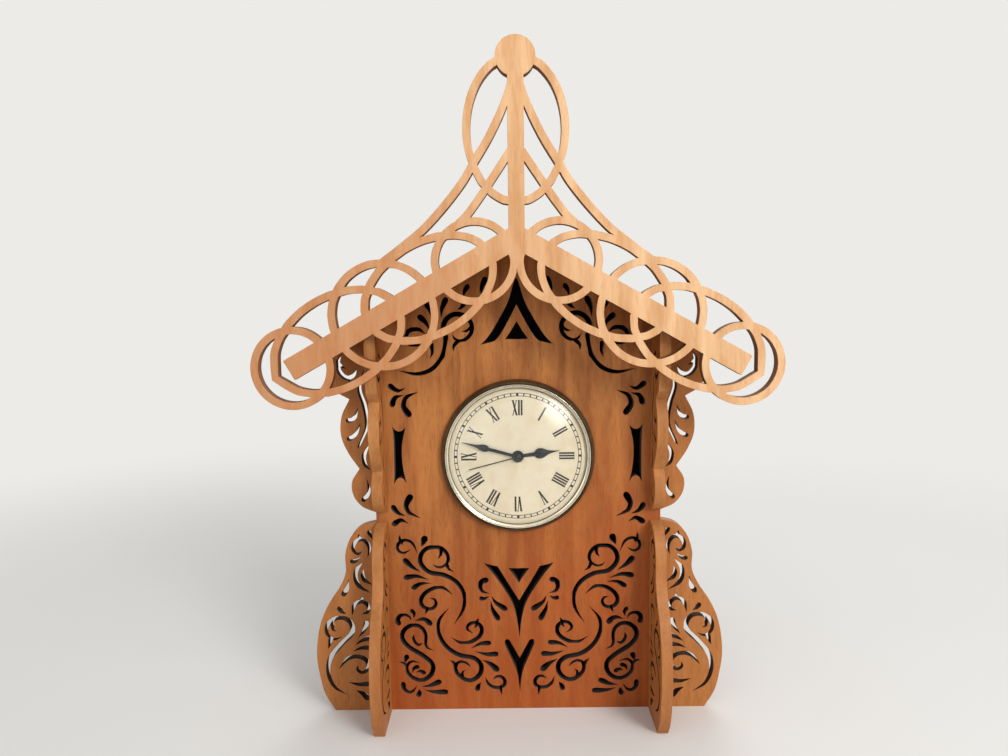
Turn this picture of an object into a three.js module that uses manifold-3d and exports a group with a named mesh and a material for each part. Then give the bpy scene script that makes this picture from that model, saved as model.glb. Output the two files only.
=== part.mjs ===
// Fretwork mantel clock: a gabled, scroll-sawn wooden case with a press-in quartz clock insert.
// Units are millimetres and +Z is up. +Y runs from the front of the clock to its back, and the
// front panel's outer face is y = 0 until the whole clock is centred on its footprint at the end.

import * as THREE from 'three';
import { mergeVertices } from 'three/addons/utils/BufferGeometryUtils.js';
import Module from 'manifold-3d';

const wasm = await Module();
wasm.setup();

// Driving dimensions of the wooden case
const STOCK = 6.35; // thickness of every sawn board
const GLUE = 0.1; // joint line left between neighbouring boards
const PANEL_WIDTH = 169.3;
const CASE_DEPTH = 63.5;
const BACKING_THICKNESS = 3;
const RIDGE_HEIGHT = 282.4; // middle of the roof boards where they meet
const CHEVRON_DROP = 20.4; // from the ridge down to the tip of the highest chevron, as drawn
const GABLE_FOOT = 160; // panel fretwork above this height follows the roof
const EAVE_FOOT = 124; // lower end of the upper brackets
const ROOF_PITCH = THREE.MathUtils.degToRad(29.5);
const EAVE_REACH = 112; // sideways reach of each roof board from the middle
const FRONT_OVERHANG = 25; // roof in front of the front panel
const BACK_OVERHANG = 5; // roof behind the side panels

// Driving dimensions of the bargeboard
const RING_REACH = [22.75, 72.25, 122.15]; // sideways place of each ring on the rafter line
const RING_RADIUS = [21.2, 27.8, 20.6];
const LOOP_LENGTH = 37.5; // half length of the long loops woven between the rings
const LOOP_HEIGHT = 24.3; // half height of those loops
const LOOP_POINT = 39.5; // reach of the last loop's pointed end
const BAND = 4.1; // width of the woven bands
const RAFTER_WIDTH = 12;
const RAFTER_REACH = 124;
const SPINE_WIDTH = 8.6;
const SPINE_FOOT = 272;
const FINIAL_HEIGHT = 375;
const FINIAL_RADIUS = 10.6;
const FINIAL_LOOP_HEIGHT = 338; // middle of the tall loop round the spine
const FINIAL_LOOP = [26, 37.5]; // half width and half height of the tall loop

// Driving dimensions of the clock insert
const DIAL_HEIGHT = 157.5; // height of the hands' axis
const BEZEL_RADIUS = 45.5;
const BEZEL_DEPTH = 5.4;
const BEZEL_BORE = 43.1;
const BEZEL_LIP = [[0.7, 0.9], [1.9, 0.15], [3.2, 0]]; // reach outwards and fall, lip to crown
const BEZEL_SHOULDER = [[0.6, 1.2], [0, 3.2]]; // reach inwards and fall, crown to rim
const LIP_RADIUS = 40.4; // opening inside the bezel's lip
const CUP_RADIUS = 39.5;
const CUP_WALL = 1.2;
const CUP_BACK = 16.8; // y of the cup's outer back face
const HOLE_RADIUS = 40.4; // hole in the front panel and the backing board
const SLIDE_GAP = 0.1; // running clearance
const DIAL_FACE = -2; // y of the dial's face
const DIAL_THICKNESS = 0.75;
const LENS_RISE = 7.6;
const LENS_CURVE = 2.6; // power of the dome's fall towards its rim
const LENS_WALL = 1.1;
const LENS_RINGS = [0.92, 0.8, 0.55, 0]; // shares of the dome's radius that have points
const CUP_WINDOW_DROP = 6; // top edge of the cup's window below the movement's top
const GASKET_INSET = 1; // gasket's edges inside the panel's two faces

// Driving dimensions of the quartz movement
const MOVEMENT_WIDTH = 54;
const MOVEMENT_CORNER = 4;
const MOVEMENT_FRONT = -1.1;
const MOVEMENT_BACK = 15.5;
const MOVEMENT_WALL = 1.2;
const COVER_FRONT = 8.1;
const BATTERY_RADIUS = 7.1;
const BATTERY_LENGTH = 49.5;
const BATTERY_NUB = [2.7, 1]; // radius and length of the raised end
const BATTERY_EDGE = 0.5; // slope of the can's end edges
const BATTERY_DROP = 18.7; // battery axis below the hands' axis
const BATTERY_MIDDLE = 8.6; // y of the battery's axis
const TRAIN_GAP = 0.3; // clearance at the ends of the arbors

const HALF = PANEL_WIDTH / 2;
const SLOPE = Math.tan(ROOF_PITCH);
const ROOF_DROP = STOCK / 2 / Math.cos(ROOF_PITCH);
const CASE_BACK = STOCK + CASE_DEPTH;
const ROOF_FRONT = -FRONT_OVERHANG;
const ROOF_BACK = CASE_BACK + BACK_OVERHANG;
const BARGE_FRONT = ROOF_FRONT - STOCK;
const CIRCLE_STEPS = 32;
const TUBE_STEPS = 20; // points round tubes, bushes and small discs
const PIN_STEPS = 8; // points round arbors and pins
const BAND_STEPS = 24; // points round a ring or loop of the bargeboard
const FINE_STEPS = 6; // steps tried on each span of a curve
const LONG_STROKE = 5 * FINE_STEPS; // curves with fewer steps keep their middle point
const TURN_STEP = THREE.MathUtils.degToRad(29); // most that a curve turns between points
const LONGEST_CHORD = 11; // most that a curve runs between points
const SHARP_END = 0.05; // half width at which a stroke comes to a point
const LEAF_TAPER = 0.55; // power of a leaf's growth from its tip
const SCROLL_TAPER = 0.38; // power of a scroll's growth from its ends
const SCROLL_SPREAD = 1.28; // finished scroll against its drawn width
const LEAF_SPREAD = 1.34; // finished leaf against its drawn width
const LEAF_CAP = [60, 120]; // degrees round a leaf's end where its cap has points
const CUT_PAST = 1; // how far a cut reaches past the face it leaves

// Fretwork of the front panel, right half, as centre lines of the saw cuts in x and z.
// A scroll tapers to both its ends, and a leaf runs from its tip to its round end.
const PANEL_SCROLLS = [
  [2.2, [39.6, 53.7], [36.4, 58.4], [34, 63], [32.8, 68.4], [33.4, 73.5], [36, 78.6], [40, 82.4],
    [45, 84.9], [51.7, 86], [55.2, 87.7], [58, 90.8], [59.2, 94.5], [58, 98.6], [54.6, 101.6],
    [50, 102.3], [45.9, 101.2], [43, 98], [42.3, 94.5], [43.6, 91.4], [46.6, 89.8], [49.6, 90.1],
    [51.7, 92]],
  [1.5, [60.4, 98], [61.8, 102], [64.2, 105.3], [67.8, 106.7], [71.2, 105.5], [72.7, 102.5],
    [71.6, 99.8], [68.6, 98.9], [64.8, 101]],
  [2, [39.6, 72.2], [42.3, 74.9], [45.2, 76.7], [48.7, 77.3], [52.3, 76.4], [56.4, 74],
    [58.8, 70.8], [59.4, 67.8], [57.6, 64.9], [54.6, 63.7], [51.7, 64.6], [50.2, 66.9],
    [51, 69.6], [54.1, 70.6]],
  [2.3, [42.3, 64.6], [45.8, 61.3], [48.5, 56.6], [49.3, 51.9], [48.4, 46.4], [46, 42],
    [42.3, 37.9], [38.1, 35.1], [33.4, 33.8], [29.3, 33], [25.8, 31], [23.7, 28], [23.5, 24.4],
    [25.2, 21], [28, 18.9], [31.4, 18.2], [35, 19.7], [37.9, 22.5], [39.2, 25.8],
    [38.3, 29], [35.5, 30.2], [32.4, 29.3], [29.9, 26.6]],
  [2, [41.7, 45.7], [38.7, 43.4], [35.2, 42.2], [31.7, 42.2], [27.5, 43.7], [24.3, 46.3],
    [22.8, 49.5], [23.4, 52.5], [25.8, 54.6], [28.7, 54.7], [31.2, 53], [31.4, 50.5],
    [28.1, 48]],
  [1.8, [21.2, 20.4], [20.4, 17.7], [18.1, 14.8], [14.6, 13.3], [11, 13.9], [9.2, 16],
    [9.6, 18.6], [11.6, 20.4], [14.2, 20.4], [16.6, 18.6]],
  [2.3, [51.7, 37.2], [55.2, 38.6], [57, 41.3], [56.7, 46.4], [58.2, 50.7], [61.1, 53.1],
    [64.7, 53.7], [68.2, 52.2], [70.6, 49.5], [71.2, 46], [69.7, 42.5], [67, 39.8],
    [62.9, 37.2], [58.2, 33.9], [54.6, 31], [52.9, 27.7], [53.2, 24.2], [55.2, 21],
    [58.8, 18.9], [62.3, 18.9], [65.8, 20.7], [68.2, 23.6], [68.8, 27.1], [67.6, 29.5],
    [64.7, 30.8], [60.2, 29.5]],
  [1.5, [58.8, 42.5], [61.1, 41.2], [63.2, 42.5], [64.4, 45.4], [63.8, 48]],
  [2.4, [69.6, 208.7], [65, 206.9], [60, 206.5], [55, 207], [50.5, 208.8], [46.6, 212],
    [43.8, 216], [42, 220.5], [41.2, 225], [41.4, 229.5], [42.6, 233], [41.6, 237],
    [38.6, 240], [34.8, 241.2], [30.6, 240.2], [27.4, 237.5], [25.9, 233.8], [26.6, 229.8],
    [29.6, 226.6], [33.4, 225.6], [36.4, 227.2], [37.8, 229.8]],
  [2.2, [52.6, 229.6], [55.6, 232], [59.4, 232.8], [63, 231.4], [64.7, 228.2], [63.4, 225],
    [60.2, 223.4], [55.8, 223.6]],
];
const PANEL_LEAVES = [
  [3, [58.3, 102.5], [57.2, 105], [56.2, 107.4]],
  [2.6, [59, 86.8], [64.4, 90.4], [68, 94]],
  [1.9, [48.6, 94.9], [46.8, 97.4], [46.6, 100.8]],
  [1.8, [39, 86.7], [41.9, 88.4], [43.4, 91.4]],
  [1.8, [71, 110.2], [71.2, 107.6], [70.2, 105.2]],
  [2.4, [54, 82], [60, 84], [64, 84.4], [67.8, 83.6]],
  [2.2, [52.6, 79.9], [57, 80], [61, 79], [63.5, 77.2]],
  [1.6, [57, 60.5], [56, 62.5], [55.4, 64.2]],
  [1.9, [42.7, 31.5], [40.4, 29.8], [39, 27.2]],
  [1.6, [33, 24.8], [35, 23.3], [34.9, 20.4]],
  [1.6, [24.6, 57.8], [25.4, 56], [26, 54.4]],
  [1.4, [27.4, 51.2], [26.4, 52.6], [25.2, 54.2]],
  [2.2, [29.6, 38.5], [24, 41.4], [18.6, 41.9]],
  [2.4, [27.5, 36.7], [20, 34.7], [14.4, 34.8]],
  [2.8, [23.1, 31.4], [18, 28.6], [14.2, 25.2]],
  [1.5, [11.3, 8.6], [11.6, 11.4], [11.9, 13.6]],
  [2.4, [23.7, 16.8], [25.2, 14.8], [26, 12.8]],
  [2, [65.6, 23.3], [64.8, 26], [62.4, 27.2]],
  [2, [63.2, 23.6], [61.1, 24.5], [58.6, 23.4]],
  [1.8, [73.8, 30.4], [71.2, 30], [68.8, 28.2]],
  [2.4, [70, 29.8], [69.4, 32], [68.8, 33.6]],
  [2.4, [65.3, 56.3], [66.2, 58.6], [68.9, 60.2], [71.9, 59.8], [73.6, 57.4], [73.2, 55]],
  [2, [64.1, 57.8], [63.6, 60.6], [64.8, 62.6]],
  [2.6, [63.5, 56.3], [60.5, 57.3], [57, 57.1], [54.3, 54.8]],
  [2.2, [63, 15], [64.9, 12.2], [67.9, 11.1], [70.7, 13], [71.3, 16.3]],
  [2.4, [61.7, 13], [61.4, 11], [62, 9.4]],
  [2.4, [60.2, 14.5], [55.2, 15.1], [49.4, 17.4]],
  [2.4, [58.8, 12.7], [53.5, 11.2], [45.4, 10.9]],
  [2.6, [17.8, 73], [21.9, 74.3], [23.4, 77.4], [22.6, 80.4], [20, 81.4]],
  [2, [18.1, 71.4], [21, 69.9], [22.9, 70]],
  [2.4, [16.6, 71.7], [14.6, 67.8], [8.7, 63.5]],
  [2.4, [17.2, 68.4], [16.3, 63.7], [13, 57.4]],
  [2.6, [65.5, 116.8], [69.8, 119], [74, 116.8]],
  [2.4, [67, 121.5], [71.6, 123.4], [74.4, 126.8]],
  [2.8, [58, 120], [64.5, 123], [66.8, 128], [64.3, 133]],
  [2.8, [58, 196], [64.8, 193], [66.8, 187.4], [63.9, 182.8]],
  [2.6, [66.5, 194.2], [71.4, 192.8], [73.4, 188.8]],
  [2.4, [65.3, 198.3], [69.8, 196.8], [74.2, 199.6]],
  [2, [36.8, 219.4], [36.8, 222.4], [34.4, 225.4]],
  [1.6, [32.2, 231.2], [29.4, 231.2], [26.6, 233.4]],
  [1.9, [50.8, 215.2], [49.3, 219], [49.6, 223.6]],
  [2.5, [50.2, 231.4], [52.8, 236.6], [56, 239.6]],
  [2.4, [48.8, 238], [49.8, 243], [52, 247.2]],
  [2.5, [43.6, 238.8], [43.2, 244], [41, 249.4]],
  [2, [34.2, 243.6], [32, 245], [30.4, 247]],
  [1.8, [27, 241.4], [25.4, 242.2], [23.6, 243.6]],
  [2.2, [30.6, 250.6], [30, 254], [28.2, 257]],
  [2.4, [20.2, 251.6], [20, 256], [18, 261]],
];
const SLOT = [[73.7, 175.4], [72, 173.4], [69.8, 172.6], [67.8, 173.2], [66, 175], [67.2, 170.2],
  [68.2, 165], [68.5, 158.6], [68.1, 152], [67.1, 145.8], [66, 141.2], [67.8, 143.9],
  [69.8, 144.8], [71.8, 143.9], [73.5, 140.9], [73.2, 146], [73.2, 170]];
// Chevrons at the middle of the panel, right half of each outline from the axis round to the axis
const CHEVRONS = [
  [[0, 262], [1.2, 259.6], [2.6, 255], [4.1, 250], [6.2, 245], [9, 240], [12, 235], [15, 230],
    [18, 226.2], [21, 223.3], [16.6, 224.3], [12.7, 225.5], [9, 230], [6, 235], [3.3, 240],
    [0, 246.4]],
  [[0, 236.6], [3.2, 231.3], [6.6, 226.4], [0, 226.2]],
  [[0, 45.8], [1, 54.6], [2, 60], [3.1, 64.3], [4.4, 67.8], [6.6, 72], [10.6, 78.4], [16, 86],
    [20.9, 92], [16.8, 90.8], [12.7, 89.9], [6.4, 79.2], [0, 68.6]],
  [[0, 79.6], [2.6, 83.8], [6.3, 88.7], [0, 88.6]],
  [[0, 10.8], [0.6, 17], [1.3, 21.6], [2.5, 26], [4.3, 30.3], [6.7, 36], [8.9, 41.4],
    [8.9, 43.2], [7.8, 44.3], [6.2, 43.6], [4.6, 40.9], [0, 32.3]],
];

// How far the ridge lies from where the spire and the upper fretwork are drawn to meet it
const DRAWN_TIP = CHEVRONS[0][0][1];
const RIDGE_SHIFT = RIDGE_HEIGHT - CHEVRON_DROP - DRAWN_TIP;

// Lower bracket, seen flat: how far it stands from its root, and the height
const FOOT_EDGE = [[28, 0], [34, 10], [37, 22], [38.5, 36], [37.5, 46], [35, 57], [31, 66],
  [26, 74], [21.5, 80.5], [19.3, 87], [19.3, 96], [18.3, 103], [14.5, 110.5], [9, 115.5],
  [0, 118]];
const FOOT_SCROLLS = [
  [2.3, [20.6, 9.8], [25, 12], [28.8, 15.6], [31.2, 20.4], [32, 26], [31, 31.8], [28.4, 36.8],
    [24.4, 41.2], [19.8, 45], [16.8, 49], [16.4, 53.6], [19, 57.6], [23.4, 59], [28, 57.8],
    [31.4, 54.6], [32.2, 50.6], [30.6, 47], [27.2, 45.4], [22.6, 47]],
  [2.1, [25.3, 26.6], [22.4, 30.8], [18.5, 33.5], [14.5, 34.3], [10.2, 33.2], [7.4, 30],
    [8, 26], [11.2, 24], [14, 25.8], [13.6, 28.8]],
  [1.9, [16.4, 59.8], [16, 64], [14, 67.4], [10.8, 69], [7.6, 67.8], [6.2, 65], [7.2, 62],
    [10.4, 61.2]],
  [2.1, [4.8, 74.3], [9.6, 76.8], [12.8, 81], [13.5, 85.6], [12, 90], [8.6, 93.4]],
  [2, [3.2, 79.2], [7, 81.2], [9.2, 84.6], [8.4, 89]],
  [1.9, [5.8, 96.4], [4.6, 100], [5.3, 104.4], [8.4, 107.4], [12, 106.7], [14.2, 103.8],
    [14, 100.4], [11.4, 98.6], [9.2, 100.2]],
];
const FOOT_LEAVES = [
  [2.2, [19.8, 18], [14, 16.5], [7.8, 16.7]],
  [2.8, [15.4, 12.6], [11.4, 10.6], [8.6, 7.8]],
  [2.1, [16.4, 37.6], [11.5, 39.6], [6.6, 39.9]],
  [2.1, [15, 41.6], [10.6, 44.4], [6, 46]],
  [2.2, [12.8, 46.4], [9.2, 51], [7.8, 55.4]],
  [1.4, [10.2, 72.4], [9.8, 70.8], [10.6, 69.2]],
  [2.2, [19.8, 61.3], [22.2, 62.5], [23.8, 64.6]],
  [2.3, [17.6, 83], [18.6, 77.6], [21, 73.6]],
  [1.9, [31.6, 39.4], [30.6, 42], [29.8, 45.4]],
  [1.8, [25.8, 50.2], [28.2, 51.6], [28.6, 55.4]],
  [2, [10.2, 96.6], [12.6, 94.5], [15.2, 93.9]],
  [1.6, [10.6, 111.2], [10.7, 109.4], [9.6, 107.6]],
  [1.8, [2.6, 107.6], [3.4, 109.4], [4.6, 111.8]],
];

// Upper bracket, seen flat, below the roof
const EAVE_EDGES = [
  [[0, EAVE_FOOT], [5, 125.5], [9.5, 129], [12.7, 133.5], [14, 139.5], [12.7, 145.5], [9, 150.5]],
  [[9, 150.5], [12.3, 155.5], [15.8, 161], [18.4, 167], [19.6, 173.5], [19.2, 179],
    [17.6, 184.5], [13.7, 192]],
];
const SIDE_EAVE_TOP = [[13.7, 192], [18.5, 194.3], [22.8, 198], [24.8, 203], [25.2, 209]];
const FRONT_EAVE_TOP = [[13.7, 192], [18, 194.4], [21.6, 198.2], [23.3, 203.6], [23.6, 212]];
const EAVE_SCROLLS = [
  [2.1, [4.6, 209.6], [6.8, 204.4], [7.6, 198.4], [6.4, 192], [4.4, 186.4], [3.5, 180.6],
    [3.9, 174.6], [5.8, 169.4], [9.8, 162.8]],
  [2.2, [17.4, 218.6], [19.4, 215], [19.5, 210], [17.3, 206.2], [14, 204.6], [10.8, 206.2],
    [8.8, 210.6]],
  [1.9, [2.4, 165.6], [5.2, 161.4], [6.2, 156.4], [5.1, 152.2], [2.4, 149.8]],
];
const EAVE_LEAVES = [
  [2.1, [8.8, 187], [9.8, 182.8], [12.2, 180], [14.8, 179.4]],
  [2, [7.6, 178], [9, 173.6], [11.8, 170], [14.6, 168.6]],
  [1.9, [4.8, 144.4], [3.7, 140.6], [4.2, 135.4], [7.2, 131.6]],
  [1.6, [11.6, 201.4], [13, 202.8], [14, 204.8]],
  [1.4, [14.6, 210.4], [16.8, 211], [19.2, 213.4]],
  [1.9, [5, 214.6], [8.6, 217.2], [12.4, 218.6]],
];

// Legs of the bargeboard's spire, right half
const OUTER_LEG = [[1, 366], [4, 356], [7, 348.5], [13.7, 335], [21.7, 322], [28.8, 310.5],
  [37.2, 300], [44.4, 292], [51, 285.5], [59, 279.2], [66.5, 273.5], [72.2, 269.4]];
const INNER_LEG = [[3, 327], [13.2, 312], [19.4, 303], [26.2, 294], [31, 289.4]];

// Gear train: tooth counts, distances between the arbors and the wheels' places
const TOOTH_TIP = 0.5; // tip above the pitch circle, in modules
const TOOTH_ROOT = 0.85; // root below the pitch circle, in modules
const THIRD_PLACE = [-8.5, 0];
const MOTION_PLACE = [8.6, 0];
const INTERMEDIATE_PLACE = [0, 8.7];
const ROTOR_PLACE = [3, 13.9];
const ARBOR_RADIUS = 0.5;
const SECOND_ARBOR = 0.4;
const MINUTE_TUBE = [1, 0.5]; // outer and inner radius
const HOUR_TUBE = [1.7, 1.1];
const BUSH = [2.9, 1.8];
const BUSH_RISE = 0.4; // bush in front of the dial's face
const WHEEL_THICKNESS = 1;
const HOUR_LAYER = 0.6; // front of each layer of wheels
const MOTION_LAYER = 2.2;
const CENTRE_LAYER = 4;
const THIRD_LAYER = 6;
const SECOND_LAYER = 8;
const ROTOR_LAYER = 10;
const MAGNET_LAYER = 11.6;
const MAGNET = [2.6, 1.5]; // radius and length
const STATOR_HOLE = 3.1;
const KNOB = [6, 3.6]; // radius and length of the setting knob

// Arbors, motor, electrics and setting knob of the movement
const AXIS = [0, 0]; // the hands' axis
const ARBOR_FRONT = MOVEMENT_FRONT + MOVEMENT_WALL + TRAIN_GAP;
const ARBOR_BACK = MOVEMENT_BACK - MOVEMENT_WALL - TRAIN_GAP;
const STATOR_FRONT = 12;
const STATOR_BACK = 12.8;
const STATOR_LEFT = -9;
const STATOR_RIGHT = 15;
const STATOR_FOOT = 10;
const STATOR_TOP = 18;
const POST_INSET = 2; // posts that carry the stator, from its edges
const POST_RADIUS = 1.2;
const STATOR_POSTS = [STATOR_LEFT + POST_INSET, STATOR_RIGHT - POST_INSET].map((x) => (
  [x, STATOR_FOOT + POST_INSET]
));
const COIL = [2.7, 2.1, 1]; // flange radius, winding radius and flange thickness
const TEETH = {
  secondPinion: 6,
  thirdWheel: 45,
  thirdPinion: 6,
  centreWheel: 48,
  cannonPinion: 8,
  motionWheel: 24,
  motionPinion: 6,
  hourWheel: 24,
  intermediatePinion: 6,
  secondWheel: 36,
  rotorPinion: 6,
  intermediateWheel: 30,
};
const KNOB_RIBS = 18;
const KNOB_RIB_DEPTH = 0.5;
const CONTACT_THICKNESS = 0.4;
const LEFT_CONTACT = -MOVEMENT_WIDTH / 2 + MOVEMENT_WALL;
const RIGHT_CONTACT = -LEFT_CONTACT - CONTACT_THICKNESS;
const CONTACT_REACH = [4, 6]; // half width and depth in front of the battery's axis
const BOARD_CORNERS = [-24, 10, -10, 23]; // circuit board seen flat: left, foot, right and top
const BOARD_THICKNESS = 1;
const BOARD_BACK = MOVEMENT_BACK - MOVEMENT_WALL - SLIDE_GAP;
const CRYSTAL = [1.4, 5]; // radius and length of the quartz crystal's can
const CRYSTAL_PLACE = [-14, 18];
const [SECOND_PINION_R, THIRD_WHEEL_R] =
  pitchRadii('secondPinion', 'thirdWheel', AXIS, THIRD_PLACE);
const [THIRD_PINION_R, CENTRE_WHEEL_R] =
  pitchRadii('thirdPinion', 'centreWheel', THIRD_PLACE, AXIS);
const [CANNON_R, MOTION_WHEEL_R] = pitchRadii('cannonPinion', 'motionWheel', AXIS, MOTION_PLACE);
const [MOTION_PINION_R, HOUR_WHEEL_R] = pitchRadii('motionPinion', 'hourWheel', MOTION_PLACE, AXIS);
const [INTERMEDIATE_PINION_R, SECOND_WHEEL_R] =
  pitchRadii('intermediatePinion', 'secondWheel', INTERMEDIATE_PLACE, AXIS);
const [ROTOR_PINION_R, INTERMEDIATE_WHEEL_R] =
  pitchRadii('rotorPinion', 'intermediateWheel', ROTOR_PLACE, INTERMEDIATE_PLACE);

// Hands: y of each hand's front face and its sizes seen flat
const HAND_THICKNESS = 0.3;
const HOUR_HAND_FRONT = -3;
const MINUTE_HAND_FRONT = -3.8;
const SECOND_HAND_FRONT = -4.6;
const HOUR_ANGLE = 82.4; // degrees clockwise from twelve
const MINUTE_ANGLE = 285.2;
const SECOND_ANGLE = 255.6;
const HUB_RADIUS = { hour: 3.5, minute: 3.3, second: 1.7 };
const HUB_STEPS = 24;
// Right half of each hand's outline, pointing up at twelve, from its tip to its hub
const HOUR_HAND = [[0, 25.2], [0.5, 21.4], [1.3, 18], [2.75, 15], [3.1, 12.9], [2.4, 11],
  [1.15, 10], [0.95, 3]];
const MINUTE_HAND = [[0, 34.6], [0.45, 29.6], [0.9, 25.2], [1.85, 22], [2.05, 20.1], [1.55, 18.4],
  [0.95, 17.5], [0.85, 3]];
const SECOND_HAND = [[0.28, 29.8], [0.35, 0], [0.35, -7], [0, -7.2]];

// Finishes
const WOOD = { color: 0xb97237, roughness: 0.5, metalness: 0 };
const PALE_WOOD = { color: 0xd79c66, roughness: 0.5, metalness: 0 };
const BLACK_CARD = { color: 0x0a0a0a, roughness: 0.4, metalness: 0 };
const OLD_BRASS = { color: 0x7d735a, roughness: 0.3, metalness: 1 };
const CLEAR = { color: 0xf2f2ee, roughness: 0.05, metalness: 0 };
const CREAM = { color: 0xeadfc2, roughness: 0.6, metalness: 0 };
const BLACK_METAL = { color: 0x141414, roughness: 0.4, metalness: 0.3 };
const BLACK_PLASTIC = { color: 0x161616, roughness: 0.5, metalness: 0 };
const WHITE_PLASTIC = { color: 0xe6e4dc, roughness: 0.5, metalness: 0 };
const RUBBER = { color: 0x101010, roughness: 0.9, metalness: 0 };
const STEEL = { color: 0xa8a8a4, roughness: 0.35, metalness: 1 };
const COPPER = { color: 0xa8582c, roughness: 0.4, metalness: 0.8 };
const GREEN_BOARD = { color: 0x1f5a34, roughness: 0.6, metalness: 0 };

// Solid helpers
function solidOf(geometry) {
  const bare = geometry.clone();
  bare.deleteAttribute('normal');
  bare.deleteAttribute('uv');
  const merged = mergeVertices(bare, 1e-4);
  const mesh = new wasm.Mesh({
    numProp: 3,
    vertProperties: new Float32Array(merged.attributes.position.array),
    triVerts: new Uint32Array(merged.index.array),
  });
  mesh.merge();
  return new wasm.Manifold(mesh);
}

function geometryOf(solid) {
  const mesh = solid.getMesh();
  const geometry = new THREE.BufferGeometry();
  const corners = new Float32Array(mesh.vertProperties);
  geometry.setAttribute('position', new THREE.BufferAttribute(corners, 3));
  geometry.setIndex(new THREE.BufferAttribute(new Uint32Array(mesh.triVerts), 1));
  geometry.computeVertexNormals();
  return geometry;
}

// A board cut to an outline in x and z, lying between two values of y
function board(outline, front, back, holes = []) {
  const shape = new THREE.Shape(outline.map(([x, z]) => new THREE.Vector2(x, z)));
  shape.holes = holes.map((hole) => new THREE.Path(hole.map(([x, z]) => new THREE.Vector2(x, z))));
  const geometry = new THREE.ExtrudeGeometry(shape, { depth: back - front, bevelEnabled: false });
  geometry.rotateX(Math.PI / 2).translate(0, back, 0);
  return solidOf(geometry);
}

function joined(solids) {
  return solids.reduce((whole, solid) => whole.add(solid));
}

function circle(x, z, radius, steps = CIRCLE_STEPS) {
  return Array.from({ length: steps }, (_, i) => {
    const turn = (2 * Math.PI * i) / steps;
    return [x + radius * Math.cos(turn), z + radius * Math.sin(turn)];
  });
}

function rectangle(x0, z0, x1, z1) {
  return [[x0, z0], [x1, z0], [x1, z1], [x0, z1]];
}

function mirrored(outline) {
  return outline.map(([x, z]) => [-x, z]).reverse();
}

// Points along a smooth curve through the given points, closer together where it turns sharply
function smooth(points) {
  const curve = new THREE.SplineCurve(points.map(([x, z]) => new THREE.Vector2(x, z)));
  const fine = curve.getPoints((points.length - 1) * FINE_STEPS);
  const last = fine.length - 1;
  const result = [points[0]];
  let run = 0;
  let turning = 0;
  for (let i = 1; i < last; i += 1) {
    const before = fine[i].clone().sub(fine[i - 1]);
    const after = fine[i + 1].clone().sub(fine[i]);
    run += before.length();
    turning += before.angleTo(after);
    if (turning > TURN_STEP || run > LONGEST_CHORD || (last < LONG_STROKE && i === last / 2)) {
      result.push([fine[i].x, fine[i].y]);
      run = 0;
      turning = 0;
    }
  }
  result.push(points[points.length - 1]);
  return result;
}

// Outline of a stroke along a centre line, with a width for each share of its length
function stroke(points, widthAt) {
  const line = smooth(points);
  const lengths = [0];
  for (let i = 1; i < line.length; i += 1) {
    lengths.push(lengths[i - 1] + Math.hypot(line[i][0] - line[i - 1][0], line[i][1] - line[i - 1][1]));
  }
  const left = [];
  const right = [];
  const last = line.length - 1;
  line.forEach(([x, z], i) => {
    const [ax, az] = line[Math.max(i - 1, 0)];
    const [bx, bz] = line[Math.min(i + 1, last)];
    const length = Math.hypot(bx - ax, bz - az);
    const along = [(bx - ax) / length, (bz - az) / length];
    const half = widthAt(lengths[i] / lengths[last]) / 2;
    if (half < SHARP_END) {
      left.push([x, z]);
      return;
    }
    left.push([x - along[1] * half, z + along[0] * half]);
    right.unshift([x + along[1] * half, z - along[0] * half]);
  });
  return { left, right };
}

function scroll([width, ...points]) {
  const spread = width * SCROLL_SPREAD;
  const swell = (share) => Math.max(Math.sin(Math.PI * share), 0) ** SCROLL_TAPER;
  const { left, right } = stroke(points, (share) => spread * swell(share));
  return [...left, ...right];
}

function leaf([width, ...points]) {
  const spread = width * LEAF_SPREAD;
  const { left, right } = stroke(points, (share) => spread * share ** LEAF_TAPER);
  const [x, z] = points[points.length - 1];
  const [lx, lz] = left[left.length - 1];
  const across = [lx - x, lz - z];
  const onward = [across[1], -across[0]];
  const cap = LEAF_CAP.map((degrees) => {
    const turn = THREE.MathUtils.degToRad(degrees);
    return [
      x + across[0] * Math.cos(turn) + onward[0] * Math.sin(turn),
      z + across[1] * Math.cos(turn) + onward[1] * Math.sin(turn),
    ];
  });
  return [...left, ...cap, ...right];
}

function band(points, width) {
  const { left, right } = stroke(points, () => width);
  return [...left, ...right];
}

// The two edges of a closed band round a centre line
function bandEdges(line, width) {
  const count = line.length;
  const edge = (offset) => line.map(([x, z], i) => {
    const [ax, az] = line[(i + count - 1) % count];
    const [bx, bz] = line[(i + 1) % count];
    const length = Math.hypot(bx - ax, bz - az);
    return [x + ((bz - az) / length) * offset, z - ((bx - ax) / length) * offset];
  });
  return [edge(width / 2), edge(-width / 2)];
}

// Every saw cut of a fret, as one solid that reaches past both faces of its board
function cutter(outlines, front, back) {
  const cuts = outlines.map((outline) => new wasm.CrossSection([outline], 'NonZero'));
  const depth = back - front + 2 * CUT_PAST;
  const solid = wasm.CrossSection.union(cuts).extrude(depth);
  return solid.rotate([90, 0, 0]).translate([0, back + CUT_PAST, 0]);
}

// Height of the roof boards' underside at a sideways place
function underRoof(x) {
  return RIDGE_HEIGHT - Math.abs(x) * SLOPE - ROOF_DROP - GLUE;
}

// An outline drawn under the drawn ridge, with its heights above the foot fitted under the roof
function fitted(outline, foot, topAt) {
  return outline.map(([x, z]) => {
    const room = topAt(x) - foot;
    const rise = Math.max(z - foot, 0) * (room / (room - RIDGE_SHIFT));
    return [x, Math.min(z, foot) + rise];
  });
}

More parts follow.
